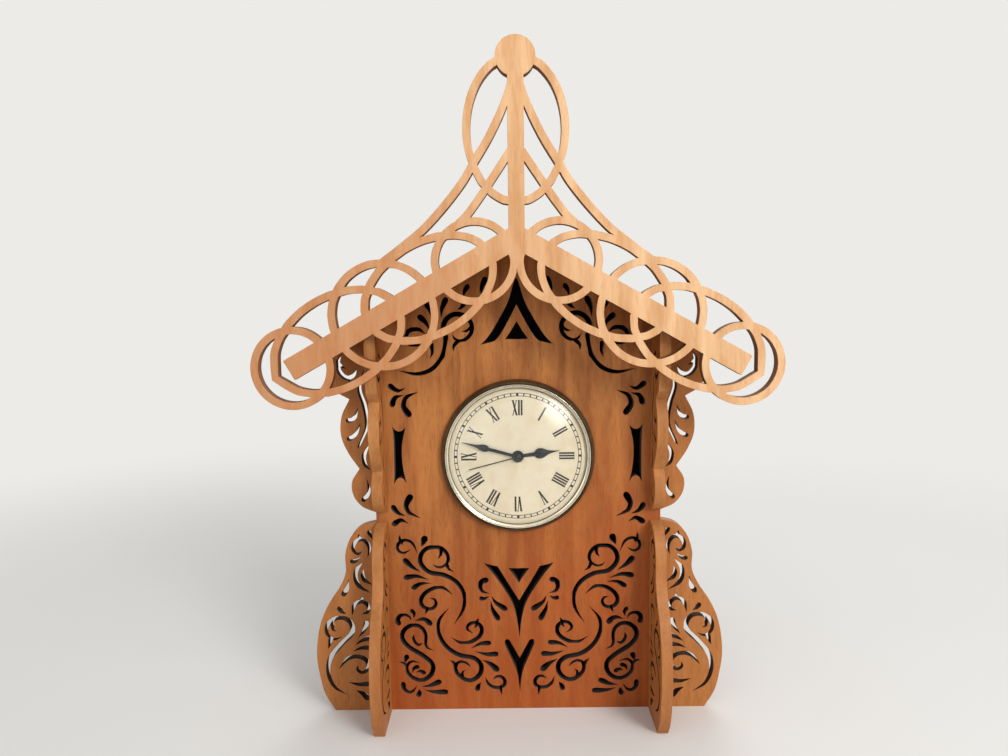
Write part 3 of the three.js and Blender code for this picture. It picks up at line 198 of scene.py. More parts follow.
class Paint(Graph):
    """A material that is put together from noises, mixes and one surface shader."""

    def __init__(self, name: str) -> None:
        """Starts an empty material.

        Args:
            name: The material's name.
        """
        self.material = bpy.data.materials.new(name)
        self.material.use_nodes = True
        super().__init__(self.material.node_tree)

    def place(self, turn: Triple = (0, 0, 0), centre: Triple = (0, 0, 0)) -> Value:
        """Object coordinates, moved to a centre and then turned.

        Args:
            turn: Euler angles of the turn.
            centre: The point that becomes the origin.

        Returns:
            The coordinates.
        """
        coordinates = self.node("ShaderNodeTexCoord", output="Object")
        moved = self.vector("SUBTRACT", coordinates, centre)
        return self.node(
            "ShaderNodeMapping", {"vector_type": "POINT"}, {"Vector": moved, "Rotation": turn}
        )

    def vector(self, operation: str, first: Any, second: Any) -> Value:
        """The result of one Vector Math node.

        Args:
            operation: What the node does.
            first: First vector.
            second: Second vector.

        Returns:
            A number for a dot product, and a vector for the rest.
        """
        output = "Value" if operation == "DOT_PRODUCT" else "Vector"
        inputs = {0: first, 1: second}
        return self.node("ShaderNodeVectorMath", {"operation": operation}, inputs, output)

    def distance(self, place: Value) -> Value:
        """How far a place is from the origin."""
        return self.node("ShaderNodeVectorMath", {"operation": "LENGTH"}, {0: place}, "Value")

    def noise(self, place: Value, rate: Triple, detail: float = 3.0, skew: float = 0.0) -> Value:
        """Soft noise, with its own rate along each axis.

        Args:
            place: Coordinates.
            rate: Lumps in a metre along x, y and z.
            detail: Octaves.
            skew: How far the noise bends itself.

        Returns:
            A value round 0.5.
        """
        scaled = self.vector("MULTIPLY", place, rate)
        return self.node(
            "ShaderNodeTexNoise",
            inputs={"Vector": scaled, "Scale": 1.0, "Detail": detail, "Distortion": skew},
        )

    def bands(self, place: Value, rate: Triple, skew: float) -> Value:
        """Wavy bands, as growth rings leave on a sawn face.

        Args:
            place: Coordinates.
            rate: Rate along x, y and z.
            skew: How far the bands wander.

        Returns:
            A value from 0 to 1.
        """
        scaled = self.vector("MULTIPLY", place, rate)
        settings = {"wave_type": "BANDS", "bands_direction": "DIAGONAL"}
        inputs = {"Vector": scaled, "Scale": 1.0, "Distortion": skew, "Detail": 2.0}
        return self.node("ShaderNodeTexWave", settings, inputs, "Fac")

    def mix(self, factor: Any, first: Any, second: Any) -> Value:
        """Two colours mixed.

        Args:
            factor: Share of the second colour.
            first: First colour.
            second: Second colour.

        Returns:
            The colour.
        """
        return self.node(
            "ShaderNodeMix",
            {"data_type": "RGBA"},
            {"Factor_Float": factor, "A_Color": first, "B_Color": second},
            "Result_Color",
        )

    def bump(self, height: Value, depth: float, strength: float) -> Value:
        """A normal that height disturbs.

        Args:
            height: The relief, 0 to 1.
            depth: Its depth in metres.
            strength: Share of it that shows.

        Returns:
            The normal.
        """
        return self.node(
            "ShaderNodeBump", inputs={"Height": height, "Distance": depth, "Strength": strength}
        )

    def surface(self, **sockets: Any) -> bpy.types.Material:
        """Ends the material in one surface shader.

        Args:
            **sockets: The shader's inputs, with an underscore for each space.

        Returns:
            The finished material.
        """
        inputs = {key.replace("_", " "): value for key, value in sockets.items()}
        return self.finish(self.node("ShaderNodeBsdfPrincipled", inputs=inputs))

    def finish(self, shader: Value) -> bpy.types.Material:
        """Links a shader to the material's output, and gives the material."""
        self.node("ShaderNodeOutputMaterial", inputs={"Surface": shader})
        return self.material


class Finish(Protocol):
    """What a surface can be dressed with."""

    def material(self) -> bpy.types.Material:
        """The material, the same one each time."""
        ...


ROOF_PITCH = math.radians(29.5)


class Grain(Enum):
    """The way that a board's fibres run, as the turn that brings them upright."""

    UP = (0.0, 0.0, 0.0)
    ACROSS = (0.0, -math.pi / 2, 0.0)
    RIGHT_SLOPE = (0.0, -math.pi / 2 - ROOF_PITCH, 0.0)
    LEFT_SLOPE = (0.0, math.pi / 2 + ROOF_PITCH, 0.0)


@dataclass(frozen=True)
class WoodFinish:
    """Satin cherry: fibres and flecks along the grain, over a mottled figure and slow patches.

    A redder, darker colour comes in towards the side that the lean points to: partly the wood's own
    redder tone, partly painted shade where less light falls.
    """

    name: str
    pale: Colour
    deep: Colour
    flush_and_shade: Colour
    grain: Grain = Grain.UP
    roughness: float = 0.46
    fibre_shade: float = 0.3
    fleck_shade: float = 0.26
    lean_share: float = 0.6
    pore_shade: float = 0.42
    relief: float = 0.00005
    specular: float = 0.2
    # By default the lean points down and to the right, so the wood turns redder and darker lower down:
    # partly its own tone, partly painted shade.
    lean: Triple = (1.2, 0.0, -4.0)

    @cache
    def material(self) -> bpy.types.Material:
        """Builds the wood.

        Returns:
            The material, the same one each time.
        """
        paint = Paint(self.name)
        place = paint.place(self.grain.value)
        patch = paint.noise(place, rate=(13, 13, 8), detail=2.0, skew=0.5)
        figure = paint.noise(place, rate=(95, 95, 24), skew=0.9)
        streak = paint.noise(place, rate=(260, 260, 12))
        growth = paint.bands(place, rate=(34, 34, 1.3), skew=6.0)
        fibre = paint.noise(place, rate=(640, 640, 90), detail=4.0)
        fleck = paint.noise(place, rate=(1500, 1500, 150), detail=2.0).step(0.55, 0.7)
        tone = figure * 0.24 + streak * 0.18 + growth * 0.06 + patch * 0.2 + fibre * 0.32
        colour = paint.mix(tone.step(0.38, 0.62), self.deep, self.pale)
        # Painted shade with the wood's own redder tone: the colour turns redder and darker towards the
        # lean.
        lean = paint.vector("DOT_PRODUCT", paint.place(), self.lean)
        redness_and_shade = (lean + patch * 0.6).step(-0.5, 0.15)
        colour = paint.mix(redness_and_shade * self.lean_share, colour, self.flush_and_shade)
        dark = fibre.step(0.38, 0.72) * self.fibre_shade + fleck * self.fleck_shade
        pore = (*(channel * self.pore_shade for channel in self.deep[:3]), 1.0)
        colour = paint.mix(dark, colour, pore)
        return paint.surface(
            Base_Color=colour,
            Roughness=self.roughness + fibre * 0.12 + fleck * 0.08,
            Normal=paint.bump(fibre * 0.7 - fleck * 0.5, self.relief, 0.5),
            Specular_IOR_Level=self.specular,
            Coat_Weight=0.05,
            Coat_Roughness=0.4,
        )


@dataclass(frozen=True)
class CutFinish(WoodFinish):
    """The wall of a saw cut: the same wood, scorched and matt."""

    roughness: float = 0.7
    specular: float = 0.1


@dataclass(frozen=True)
class GrainedFinish:
    """A moulded, painted, cast or rolled surface: one colour with a fine grain of its own.

    The grain changes the roughness by the spread, and its relief is the depth, in metres.
    """

    name: str
    colour: Colour
    shade: Colour
    rate: Triple = (900, 900, 900)
    roughness: float = 0.5
    spread: float = 0.15
    metallic: float = 0.0
    depth: float = 0.00002
    specular: float = 0.5

    @cache
    def material(self) -> bpy.types.Material:
        """Builds the surface.

        Returns:
            The material, the same one each time.
        """
        paint = Paint(self.name)
        place = paint.place()
        grain = paint.noise(place, self.rate)
        wear = paint.noise(place, rate=(60, 60, 60), detail=2.0).step(0.35, 0.7)
        colour = paint.mix(grain.step(0.3, 0.7) * 0.6 + wear * 0.4, self.colour, self.shade)
        return paint.surface(
            Base_Color=colour,
            Roughness=self.roughness + grain * self.spread - self.spread / 2,
            Metallic=self.metallic,
            Normal=paint.bump(grain, self.depth, 0.6),
            Specular_IOR_Level=self.specular,
        )


@dataclass(frozen=True)
class LensFinish:
    """Clear moulded lens: it lets the dial through, and mirrors more towards its rim."""

    name: str
    mirror: float
    index: float = 1.46

    @cache
    def material(self) -> bpy.types.Material:
        """Builds the lens.

        Returns:
            The material.
        """
        paint = Paint(self.name)
        haze = paint.noise(paint.place(), rate=(40, 40, 40), detail=2.0)
        clear = paint.node("ShaderNodeBsdfTransparent", inputs={"Color": (1, 1, 1, 1)})
        gloss = paint.node(
            "ShaderNodeBsdfAnisotropic",
            {"distribution": "GGX"},
            {"Color": (1, 1, 1, 1), "Roughness": haze * 0.06 + 0.16},
        )
        lit_through = paint.node("ShaderNodeLightPath", output="Is Shadow Ray")
        mirror = paint.node("ShaderNodeFresnel", inputs={"IOR": self.index}) * self.mirror
        mirror = mirror * (1.0 - lit_through)
        return paint.finish(paint.node("ShaderNodeMixShader", inputs={0: mirror, 1: clear, 2: gloss}))


@dataclass(frozen=True)
class PaperFinish:
    """Printed parchment: mottled cream that yellows towards its edge."""

    centre: Triple
    radius: float
    name: str = "dial_paper"
    cream: Colour = seen(226, 216, 191)
    stain: Colour = seen(216, 201, 168)
    edge: Colour = seen(221, 207, 179)

    @cache
    def material(self) -> bpy.types.Material:
        """Builds the paper.

        Returns:
            The material.
        """
        paint = Paint(self.name)
        place = paint.place(centre=self.centre)
        mottle = paint.noise(place, rate=(130, 130, 130), detail=4.0, skew=0.6)
        cloud = paint.noise(place, rate=(45, 45, 45), detail=2.0)
        fibre = paint.noise(place, rate=(1500, 1500, 1500), detail=2.0)
        reach = paint.distance(place) * (1 / self.radius)
        stained = (mottle * 0.6 + cloud * 0.4).step(0.4, 0.68)
        colour = paint.mix(stained * 0.75, self.cream, self.stain)
        colour = paint.mix(reach.step(0.75, 1.0) * 0.5, colour, self.edge)
        return paint.surface(
            Base_Color=colour,
            Roughness=0.62 + fibre * 0.1,
            Normal=paint.bump(fibre, 0.00001, 0.4),
        )


@dataclass(frozen=True)
class BatteryFinish:
    """A sleeved dry cell: black sleeve, a copper-coloured band at one end and bare steel ends."""

    low: float
    high: float
    name: str = "battery_skin"
    sleeve: Colour = seen(24, 24, 26)
    band: Colour = seen(168, 104, 52)
    steel: Colour = seen(178, 180, 182)
    band_share: float = 0.3
    tip_share: float = 0.035
    foot_share: float = 0.008
    blur: float = 0.002

    @cache
    def material(self) -> bpy.types.Material:
        """Builds the sleeve and the ends.

        Returns:
            The material.
        """
        paint = Paint(self.name)
        place = paint.place()
        along = paint.node("ShaderNodeSeparateXYZ", inputs={"Vector": place})
        scuff = paint.noise(place, rate=(70, 500, 500))
        length = self.high - self.low

        def past(share: float) -> Value:
            """Where the cell is past a share of its length."""
            return along.step(self.low + length * share, self.low + length * (share + self.blur))

        banded = past(1 - self.band_share)
        bare = past(1 - self.tip_share) + (1 - past(self.foot_share))
        colour = paint.mix(banded, self.sleeve, self.band)
        colour = paint.mix(bare, colour, self.steel)
        return paint.surface(
            Base_Color=colour,
            Roughness=0.26 + scuff * 0.16,
            Metallic=bare * 0.9 + (1 - bare) * banded * 0.55,
        )


class Finishes:
    """Every finish of the clock that needs no size."""

    # The panel turns redder and darker towards its bottom right: the wood's own redder tone, with
    # painted shade lower down.
    PANEL = WoodFinish("panel_wood", seen(190, 123, 64), seen(140, 80, 36), seen(164, 66, 12))
    # The wing's lean paints shade: its wood is darker towards the lower left.
    WING = WoodFinish(
        "wing_wood", seen(200, 135, 71), seen(160, 98, 46), seen(170, 104, 54), lean=(-0.6, 0.0, -1.0)
    )
    # The bargeboard turns darker and more saturated towards its lower left: partly its own colour,
    # partly painted shade.
    BARGE = WoodFinish(
        "pale_wood",
        seen(232, 190, 145),
        seen(202, 150, 102),
        seen(168, 92, 40),
        fibre_shade=0.2,
        fleck_shade=0.14,
        lean=(-3.0, 0.0, -2.0),
    )
    EDGE = WoodFinish("board_edge", seen(198, 137, 80), seen(160, 100, 50), seen(172, 106, 58))
    CASE = WoodFinish("case_wood", seen(200, 132, 70), seen(162, 94, 42), seen(172, 84, 34))
    BASE = replace(CASE, name="base_wood", grain=Grain.ACROSS)
    RIGHT_ROOF = WoodFinish(
        "right_roof_wood", seen(206, 140, 78), seen(170, 102, 50), seen(180, 94, 42), Grain.RIGHT_SLOPE
    )
    LEFT_ROOF = replace(RIGHT_ROOF, name="left_roof_wood", grain=Grain.LEFT_SLOPE)
    PANEL_CUT = CutFinish("panel_cut", seen(92, 86, 84), seen(58, 53, 51), seen(66, 60, 58))
    WING_CUT = CutFinish("wing_cut", seen(82, 58, 41), seen(50, 34, 24), seen(58, 38, 26))
    BARGE_CUT = CutFinish("barge_cut", seen(152, 102, 66), seen(108, 69, 42), seen(120, 74, 46))
    BACKING = GrainedFinish(
        "black_backing",
        seen(9, 8, 8),
        seen(14, 12, 12),
        rate=(700, 700, 700),
        roughness=0.9,
        spread=0.1,
        depth=0.00006,
        specular=0.04,
    )
    BRONZE = GrainedFinish(
        "antique_brass",
        seen(126, 110, 84),
        seen(100, 86, 62),
        rate=(400, 400, 400),
        roughness=0.36,
        spread=0.12,
        metallic=0.9,
        depth=0.000008,
    )
    NICKEL = GrainedFinish(
        "polished_lip",
        seen(222, 213, 192),
        seen(204, 194, 170),
        rate=(300, 300, 300),
        roughness=0.24,
        spread=0.08,
        metallic=0.85,
        depth=0.000004,
    )
    # Painted shade: a near-black ring that stands for the shadow line in the bezel's groove.
    GROOVE_SHADE = GrainedFinish("bezel_groove_shade", seen(34, 28, 18), seen(24, 20, 13), roughness=0.6)
    INK = GrainedFinish(
        "printed_ink", seen(34, 34, 36), seen(24, 24, 26), rate=(2600, 2600, 2600), roughness=0.6
    )
    BLACK_METAL = GrainedFinish(
        "black_metal",
        seen(16, 18, 22),
        seen(24, 26, 30),
        rate=(1200, 1200, 1200),
        roughness=0.34,
        spread=0.12,
        specular=0.4,
    )
    BLACK_PLASTIC = GrainedFinish(
        "black_plastic",
        seen(34, 34, 35),
        seen(46, 46, 47),
        rate=(1400, 1400, 1400),
        roughness=0.46,
        spread=0.16,
        depth=0.00003,
    )
    RUBBER = GrainedFinish("black_rubber", seen(22, 21, 21), seen(30, 29, 28), roughness=0.78)
    GREEN_BOARD = GrainedFinish(
        "green_board", seen(30, 96, 54), seen(22, 76, 44), rate=(260, 260, 260), roughness=0.4
    )
    STEEL = GrainedFinish(
        "steel",
        seen(186, 188, 190),
        seen(160, 162, 165),
        rate=(1500, 90, 90),
        roughness=0.3,
        spread=0.14,
        metallic=1.0,
        depth=0.000006,
    )
    COPPER = GrainedFinish(
        "copper_wire",
        seen(178, 96, 48),
        seen(140, 70, 32),
        rate=(5200, 60, 60),
        roughness=0.34,
        spread=0.1,
        metallic=0.85,
        depth=0.00004,
    )
    WHITE_PLASTIC = GrainedFinish(
        "white_plastic",
        seen(232, 229, 220),
        seen(220, 216, 204),
        rate=(1100, 1100, 1100),
        roughness=0.42,
    )


class Draft:
    """A mesh that is drawn ring by ring and face by face."""

    SHARP = math.radians(34)
    CLOSE = 1e-7

    def __init__(self) -> None:
        """Starts with nothing drawn."""
        self.points: list[Triple] = []
        self.faces: list[list[int]] = []
        self.slots: list[int] = []

    def ring(self, points: Iterable[Sequence[float]]) -> list[int]:
        """Adds points.

        Args:
            points: Their places.

        Returns:
            Their numbers.
        """
        start = len(self.points)
        self.points.extend(tuple(p) for p in points)
        return list(range(start, len(self.points)))

    def face(self, corners: Sequence[int], slot: int = 0) -> None:
        """Adds one face."""
        self.faces.append(list(corners))
        self.slots.append(slot)

    def bridge(self, near: Sequence[int], far: Sequence[int], slot: int = 0) -> None:
        """Adds the wall between two closed rings of as many points.

        Args:
            near: The ring that faces the viewer.
            far: The ring behind it.
            slot: Material slot.
        """
        for i, (a, deep_a) in enumerate(zip(near, far)):
            j = (i + 1) % len(near)
            self.face((a, deep_a, far[j], near[j]), slot)

    def prism(self, outline: Sequence[Flat], front: float, back: float, axis: Triple) -> None:
        """Adds a flat shape with a thickness, facing -Y.

        Args:
            outline: Its corners across x and z, in millimetres from the axis, anticlockwise.
            front: y of its face.
            back: y of its back.
            axis: The point that the outline is measured from.
        """
        near, far = (
            self.ring((axis[0] + x * MM, y, axis[2] + z * MM) for x, z in outline)
            for y in (front, back)
        )
        self.face(near)
        self.face(far[::-1])
        self.bridge(near, far)

    def mesh(self, name: str, tidy: bool = False) -> bpy.types.Mesh:
        """Makes the mesh.

        Args:
            name: Its name.
            tidy: Whether doubles are merged and the faces turned outwards.

        Returns:
            The mesh.
        """
        mesh = bpy.data.meshes.new(name)
        mesh.from_pydata(self.points, [], self.faces)
        mesh.polygons.foreach_set("material_index", self.slots)
        if tidy:
            work = bmesh.new()
            work.from_mesh(mesh)
            bmesh.ops.remove_doubles(work, verts=work.verts, dist=self.CLOSE)
            bmesh.ops.recalc_face_normals(work, faces=work.faces)
            work.to_mesh(mesh)
            work.free()
        return rounded(mesh)


def rounded(mesh: bpy.types.Mesh) -> bpy.types.Mesh:
    """Shades a mesh smooth, with its sharp edges kept.

    Args:
        mesh: The mesh.

    Returns:
        The same mesh.
    """
    mesh.polygons.foreach_set("use_smooth", [True] * len(mesh.polygons))
    mesh.set_sharp_from_angle(angle=Draft.SHARP)
    mesh.update()
    return mesh


@dataclass(frozen=True)
class Piece:
    """A finished mesh with what it is made of, what it rides on and what it stands for."""

    name: str
    mesh: bpy.types.Mesh
    finishes: tuple[Finish, ...]
    body: str
    slot: str
    nodes: tuple[str, ...] = ()

    def put(self) -> bpy.types.Object:
        """Puts the piece in the scene.

        Returns:
            Its object.
        """
        made = bpy.data.objects.new(self.name, self.mesh)
        bpy.context.scene.collection.objects.link(made)
        # Clearing the materials also sets every face back to the first slot.
        slots = [face.material_index for face in self.mesh.polygons]
        self.mesh.materials.clear()
        for finish in self.finishes:
            self.mesh.materials.append(finish.material())
        self.mesh.polygons.foreach_set("material_index", slots)
        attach(made, self.body)
        if self.nodes:
            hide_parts(*self.nodes)
        LOG.info("%s: %d faces, rides on %s", self.name, len(self.mesh.polygons), self.body)
        return made


class Facing(Enum):
    """How a sawn board stands: its drawing's two axes, and the axis of its thickness."""

    FRONT = (0, 2, 1, -1)
    SIDE = (1, 2, 0, 1)

    def flat(self, point: Vector) -> Flat:
        """A point's place in the drawing, in millimetres."""
        across, up, _, _ = self.value
        return (point[across] / MM, point[up] / MM)

    def solid(self, place: Flat, face: float, depth: float) -> Triple:
        """A place in the drawing, at a depth behind the face.

        Args:
            place: Drawing coordinates in millimetres.
            face: Where the face lies on its axis, in metres.
            depth: Depth behind it, in millimetres.

        Returns:
            The point.
        """
        across, up, through, outwards = self.value
        point = [0.0, 0.0, 0.0]
        point[across] = place[0] * MM
        point[up] = place[1] * MM
        point[through] = face - outwards * depth * MM
        return (point[0], point[1], point[2])


class BoardPart(IntEnum):
    """A sawn board's material slots. Its softened edges have the finish of its faces."""

    FACE = 0
    OUTLINE = 1
    CUT = 2


@dataclass
class SawnBoard:
    """A flat board cut from its node's drawing, with smooth curves and softened edges.

    The node's face gives the loops, and the wood is on the left of each of them. The finishes are in
    the order of the board's parts.
    """

    node: str
    facing: Facing
    body: str
    slot: str
    finishes: tuple[Finish, Finish, Finish]
    corner: float = math.radians(66)
    outer_corner: float = math.radians(46)
    long_corner: float = math.radians(20)
    long_edge: float = 12.0
    step: float = 0.8
    most_steps: int = 10
    soft: float = 0.16
    least_area: float = 0.05

    def build(self) -> bpy.types.Object:
        """Draws the board and puts it in the scene.

        Returns:
            Its object.
        """
        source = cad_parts[self.node].data
        _, _, through, outwards = self.facing.value
        low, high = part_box(self.node)
        face = high[through] if outwards > 0 else low[through]
        thickness = (high[through] - low[through]) / MM
        loops = [self.refined(loop) for loop in self.loops(source, face)]
        insets = [inset(loop, self.soft) for loop in loops]
        draft = Draft()
        ends: tuple[list[int], list[int]] = ([], [])
        for loop, line in zip(loops, insets):
            levels = ((line, 0.0), (loop, self.soft), (loop, thickness - self.soft), (line, thickness))
            top, upper, lower, under = (
                draft.ring(self.facing.solid(p, face, depth) for p in row) for row, depth in levels
            )
            wall = BoardPart.OUTLINE if area(loop) > 0 else BoardPart.CUT
            draft.bridge(top, upper, BoardPart.FACE)
            draft.bridge(upper, lower, wall)
            draft.bridge(lower, under, BoardPart.FACE)
            ends[0].extend(top)
            ends[1].extend(under)
        crossings, corners = self.capped(insets)
        for known, depth in zip(ends, (0.0, thickness)):
            known.extend(draft.ring(self.facing.solid(p, face, depth) for p in crossings))
        for triangle in corners:
            draft.face([ends[0][i] for i in triangle])
            draft.face([ends[1][i] for i in reversed(triangle)])
        mesh = draft.mesh(self.node)
        nodes = (self.node,)
        return Piece(f"sawn_{self.node}", mesh, self.finishes, self.body, self.slot, nodes).put()

    def loops(self, source: bpy.types.Mesh, face: float) -> list[list[Flat]]:
        """The edges of the node's face, as closed loops.

        Args:
            source: The node's mesh.
            face: Where the face lies on its axis.

        Returns:
            Loops in the drawing, in millimetres.
        """
        through = self.facing.value[2]
        close = 2e-6
        edges: set[tuple[Flat, Flat]] = set()
        for polygon in source.polygons:
            corners = [source.vertices[i].co for i in polygon.vertices]
            if any(abs(c[through] - face) > close for c in corners):
                continue
            flat = [tuple(round(v, 4) for v in self.facing.flat(c)) for c in corners]
            for a, b in zip(flat, flat[1:] + flat[:1]):
                if (b, a) in edges:
                    edges.remove((b, a))
                elif a != b:
                    edges.add((a, b))
        onward: dict[Flat, list[Flat]] = defaultdict(list)
        for a, b in sorted(edges):
            onward[a].append(b)
        found = []
        while onward:
            start = next(iter(onward))
            loop = [start]
            while True:
                ends = onward[loop[-1]]
                following = ends.pop()
                if not ends:
                    del onward[loop[-1]]
                if following == start:
                    break
                loop.append(following)
            found.append(loop)
        return [loop for loop in found if len(loop) > 2 and abs(area(loop)) > self.least_area]

    def refined(self, loop: list[Flat]) -> list[Flat]:
        """A loop with its curves made smooth, and its corners and straight edges kept.

        Args:
            loop: The node's own points.

        Returns:
            The finer loop.
        """
        points = [Vector(p) for p in loop]
        count = len(points)
        corner = min(self.corner, self.outer_corner) if area(loop) > 0 else self.corner
        low, high = (Vector(pick(axis) for axis in zip(*loop)) for pick in (min, max))
        sharp = []
        for i, point in enumerate(points):
            into = point - points[i - 1]
            out = points[(i + 1) % count] - point
            turn = abs(into.angle_signed(out, 0.0))
            longest = max(into.length, out.length)
            sharp.append(turn > corner or (turn > self.long_corner and longest > self.long_edge))
        result: list[Flat] = []
        for i, start in enumerate(points):
            j = (i + 1) % count
            end = points[j]
            result.append((start.x, start.y))
            if sharp[i] and sharp[j]:
                continue
            before = 2 * start - end if sharp[i] else points[i - 1]
            after = 2 * end - start if sharp[j] else points[(j + 1) % count]
            pieces = min(self.most_steps, math.ceil((end - start).length / self.step))
            for k in range(1, pieces):
                x, y = eased(before, start, end, after, k / pieces)
                result.append((min(max(x, low.x), high.x), min(max(y, low.y), high.y)))
        return result

    @staticmethod
    def capped(lines: list[list[Flat]]) -> tuple[list[Flat], list[list[int]]]:
        """The triangles of the face between its lines.

        Args:
            lines: The loops that bound the face.

        Returns:
            The points where lines cross, and the triangles. Their numbers run through the points of
            the loops and on through the crossings.
        """
        places = [Vector(p) for line in lines for p in line]
        edges: list[tuple[int, int]] = []
        for line in lines:
            start = len(edges)
            edges.extend((start + i, start + (i + 1) % len(line)) for i in range(len(line)))
        made, sides, triangles, origins, parents, _ = delaunay_2d_cdt(places, edges, [], 0, 1e-7)
        walls = []
        for (a, b), group in zip(sides, parents):
            for parent in group:
                first, last = (places[i] for i in edges[parent])
                walls.append((a, b) if (made[b] - made[a]).dot(last - first) > 0 else (b, a))
        crossings: list[Flat] = []
        numbers = []
        for point, group in zip(made, origins):
            numbers.append(group[0] if group else len(places) + len(crossings))
            if not group:
                crossings.append((point.x, point.y))
        wood = filled(made, triangles, walls)
        return crossings, [[numbers[i] for i in triangle] for triangle in wood]


def area(loop: Sequence[Sequence[float]]) -> float:
    """A loop's area, which is negative where it runs clockwise."""
    pairs = zip(loop, [*loop[1:], loop[0]])
    return sum(a[0] * b[1] - b[0] * a[1] for a, b in pairs) / 2


def filled(
    places: Sequence[Vector], triangles: list[list[int]], walls: list[tuple[int, int]]
) -> list[list[int]]:
    """The triangles that the walls run round anticlockwise.

    Args:
        places: The points.
        triangles: Triangles that cover everything.
        walls: Directed edges, with the wood on their left.

    Returns:
        The triangles that lie in the wood.
    """
    fences = {frozenset(wall) for wall in walls}
    owners = defaultdict(list)
    for number, triangle in enumerate(triangles):
        for i, corner in enumerate(triangle):
            owners[frozenset((corner, triangle[i - 1]))].append(number)
    waiting = set(range(len(triangles)))
    wood: list[list[int]] = []
    while waiting:
        region = [waiting.pop()]
        for number in region:
            triangle = triangles[number]
            for i, corner in enumerate(triangle):
                side = frozenset((corner, triangle[i - 1]))
                fresh = waiting.intersection(owners[side]) if side not in fences else set()
                waiting -= fresh
                region.extend(fresh)
        shapes = [[places[i] for i in triangles[number]] for number in region]
        middle = sum(max(shapes, key=lambda shape: abs(area(shape))), Vector((0.0, 0.0))) / 3
        if turns_round(middle, ((places[a], places[b]) for a, b in walls)) > 0:
            wood.extend(triangles[number] for number in region)
    return wood


def turns_round(point: Vector, lines: Iterable[tuple[Vector, Vector]]) -> int:
    """How many times directed lines run round a point.

    Args:
        point: The point.
        lines: The lines, which close into loops.

    Returns:
        The number of turns, anticlockwise.
    """
    turns = 0
    for start, end in lines:
        if (start.y <= point.y) == (end.y <= point.y):
            continue
        crossed = start.x + (end.x - start.x) * (point.y - start.y) / (end.y - start.y)
        if crossed > point.x:
            turns += 1 if end.y > start.y else -1
    return turns


def eased(before: Vector, start: Vector, end: Vector, after: Vector, share: float) -> Flat:
    """A point on the smooth curve from start to end.

    Args:
        before: The point before start.
        start: Where the span starts.
        end: Where it ends.
        after: The point after end.
        share: How far along the span, 0 to 1.

    Returns:
        The point.
    """
    row = [before, start, end, after]
    knots = [0.0]
    for a, b in zip(row, row[1:]):
        knots.append(knots[-1] + max((b - a).length, 1e-4) ** 0.5)
    here = knots[1] + (knots[2] - knots[1]) * share
    for spans in (((0, 1), (1, 2), (2, 3)), ((0, 2), (1, 3)), ((1, 2),)):
        row = [
            row[i].lerp(row[i + 1], (here - knots[a]) / (knots[b] - knots[a]))
            for i, (a, b) in enumerate(spans)
        ]
    return (row[0].x, row[0].y)


def inset(loop: Sequence[Flat], reach: float) -> list[Flat]:
    """A loop moved to its left, into the wood.

    Args:
        loop: The loop.
        reach: How far, in millimetres.

    Returns:
        The moved loop, with as many points.
    """
    # Below this spread of its two sides, a sharp point is moved no further.
    least_spread = 0.35
    points = [Vector(p) for p in loop]
    count = len(points)
    lefts = []
    for i, point in enumerate(points):
        along = (points[(i + 1) % count] - point).normalized()
        lefts.append(Vector((-along.y, along.x)))
    result = []
    for i, point in enumerate(points):
        both = lefts[i - 1] + lefts[i]
        spread = max(both.length_squared / 2, least_spread)
        moved = point + both * (reach / spread)
        result.append((moved.x, moved.y))
    return result


@dataclass
class PlainBoard:
    """A plain board or moulded piece: its node's own shape, with its edges softened."""

    node: str
    body: str
    slot: str
    finish: Finish
    soft: float = 0.3
    close: float = 1e-6
    flat_angle: float = math.radians(1)
    hard_angle: float = math.radians(40)

    def build(self) -> bpy.types.Object:
        """Softens a merged copy of the node and puts it in the scene.

        Returns:
            Its object.
        """
        work = bmesh.new()
        work.from_mesh(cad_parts[self.node].data)
        bmesh.ops.remove_doubles(work, verts=work.verts, dist=self.close)
        bmesh.ops.dissolve_limit(
            work, angle_limit=self.flat_angle, verts=work.verts, edges=work.edges
        )
        bmesh.ops.bevel(
            work,
            geom=[edge for edge in work.edges if edge.calc_face_angle(0.0) > self.hard_angle],
            offset=self.soft * MM,
            segments=2,
            profile=0.5,
            affect="EDGES",
            clamp_overlap=True,
        )
        bmesh.ops.triangulate(work, faces=[face for face in work.faces if len(face.verts) > 4])
        mesh = bpy.data.meshes.new(self.node)
        work.to_mesh(mesh)
        work.free()
        nodes = (self.node,)
        name = f"plain_{self.node}"
        return Piece(name, rounded(mesh), (self.finish,), self.body, self.slot, nodes).put()


@dataclass
class WoodenCase:
    """The sawn and plain boards, which are glued into one."""

    body: str = "case"
    woven_corner: float = math.radians(24)
    backing_soft: float = 0.15

    def build(self) -> None:
        """Builds every board."""
        panel = (Finishes.PANEL, Finishes.EDGE, Finishes.PANEL_CUT)
        wing = (Finishes.WING, Finishes.EDGE, Finishes.WING_CUT)
        woven = (Finishes.BARGE, Finishes.EDGE, Finishes.BARGE_CUT)
        SawnBoard("front_panel", Facing.FRONT, self.body, "wood", panel).build()
        SawnBoard(
            "bargeboard", Facing.FRONT, self.body, "pale_wood", woven, corner=self.woven_corner
        ).build()
        for side in ("right", "left"):
            for end in ("foot", "eave"):
                SawnBoard(f"{side}_side_{end}_bracket", Facing.FRONT, self.body, "wood", wing).build()
                SawnBoard(f"{side}_front_{end}_bracket", Facing.SIDE, self.body, "wood", wing).build()
            PlainBoard(f"{side}_side_panel", self.body, "wood", Finishes.CASE).build()
        PlainBoard("right_roof_panel", self.body, "wood", Finishes.RIGHT_ROOF).build()
        PlainBoard("left_roof_panel", self.body, "wood", Finishes.LEFT_ROOF).build()
        PlainBoard("base_panel", self.body, "wood", Finishes.BASE).build()
        PlainBoard(
            "backing_board", self.body, "black_backing", Finishes.BACKING, self.backing_soft
        ).build()


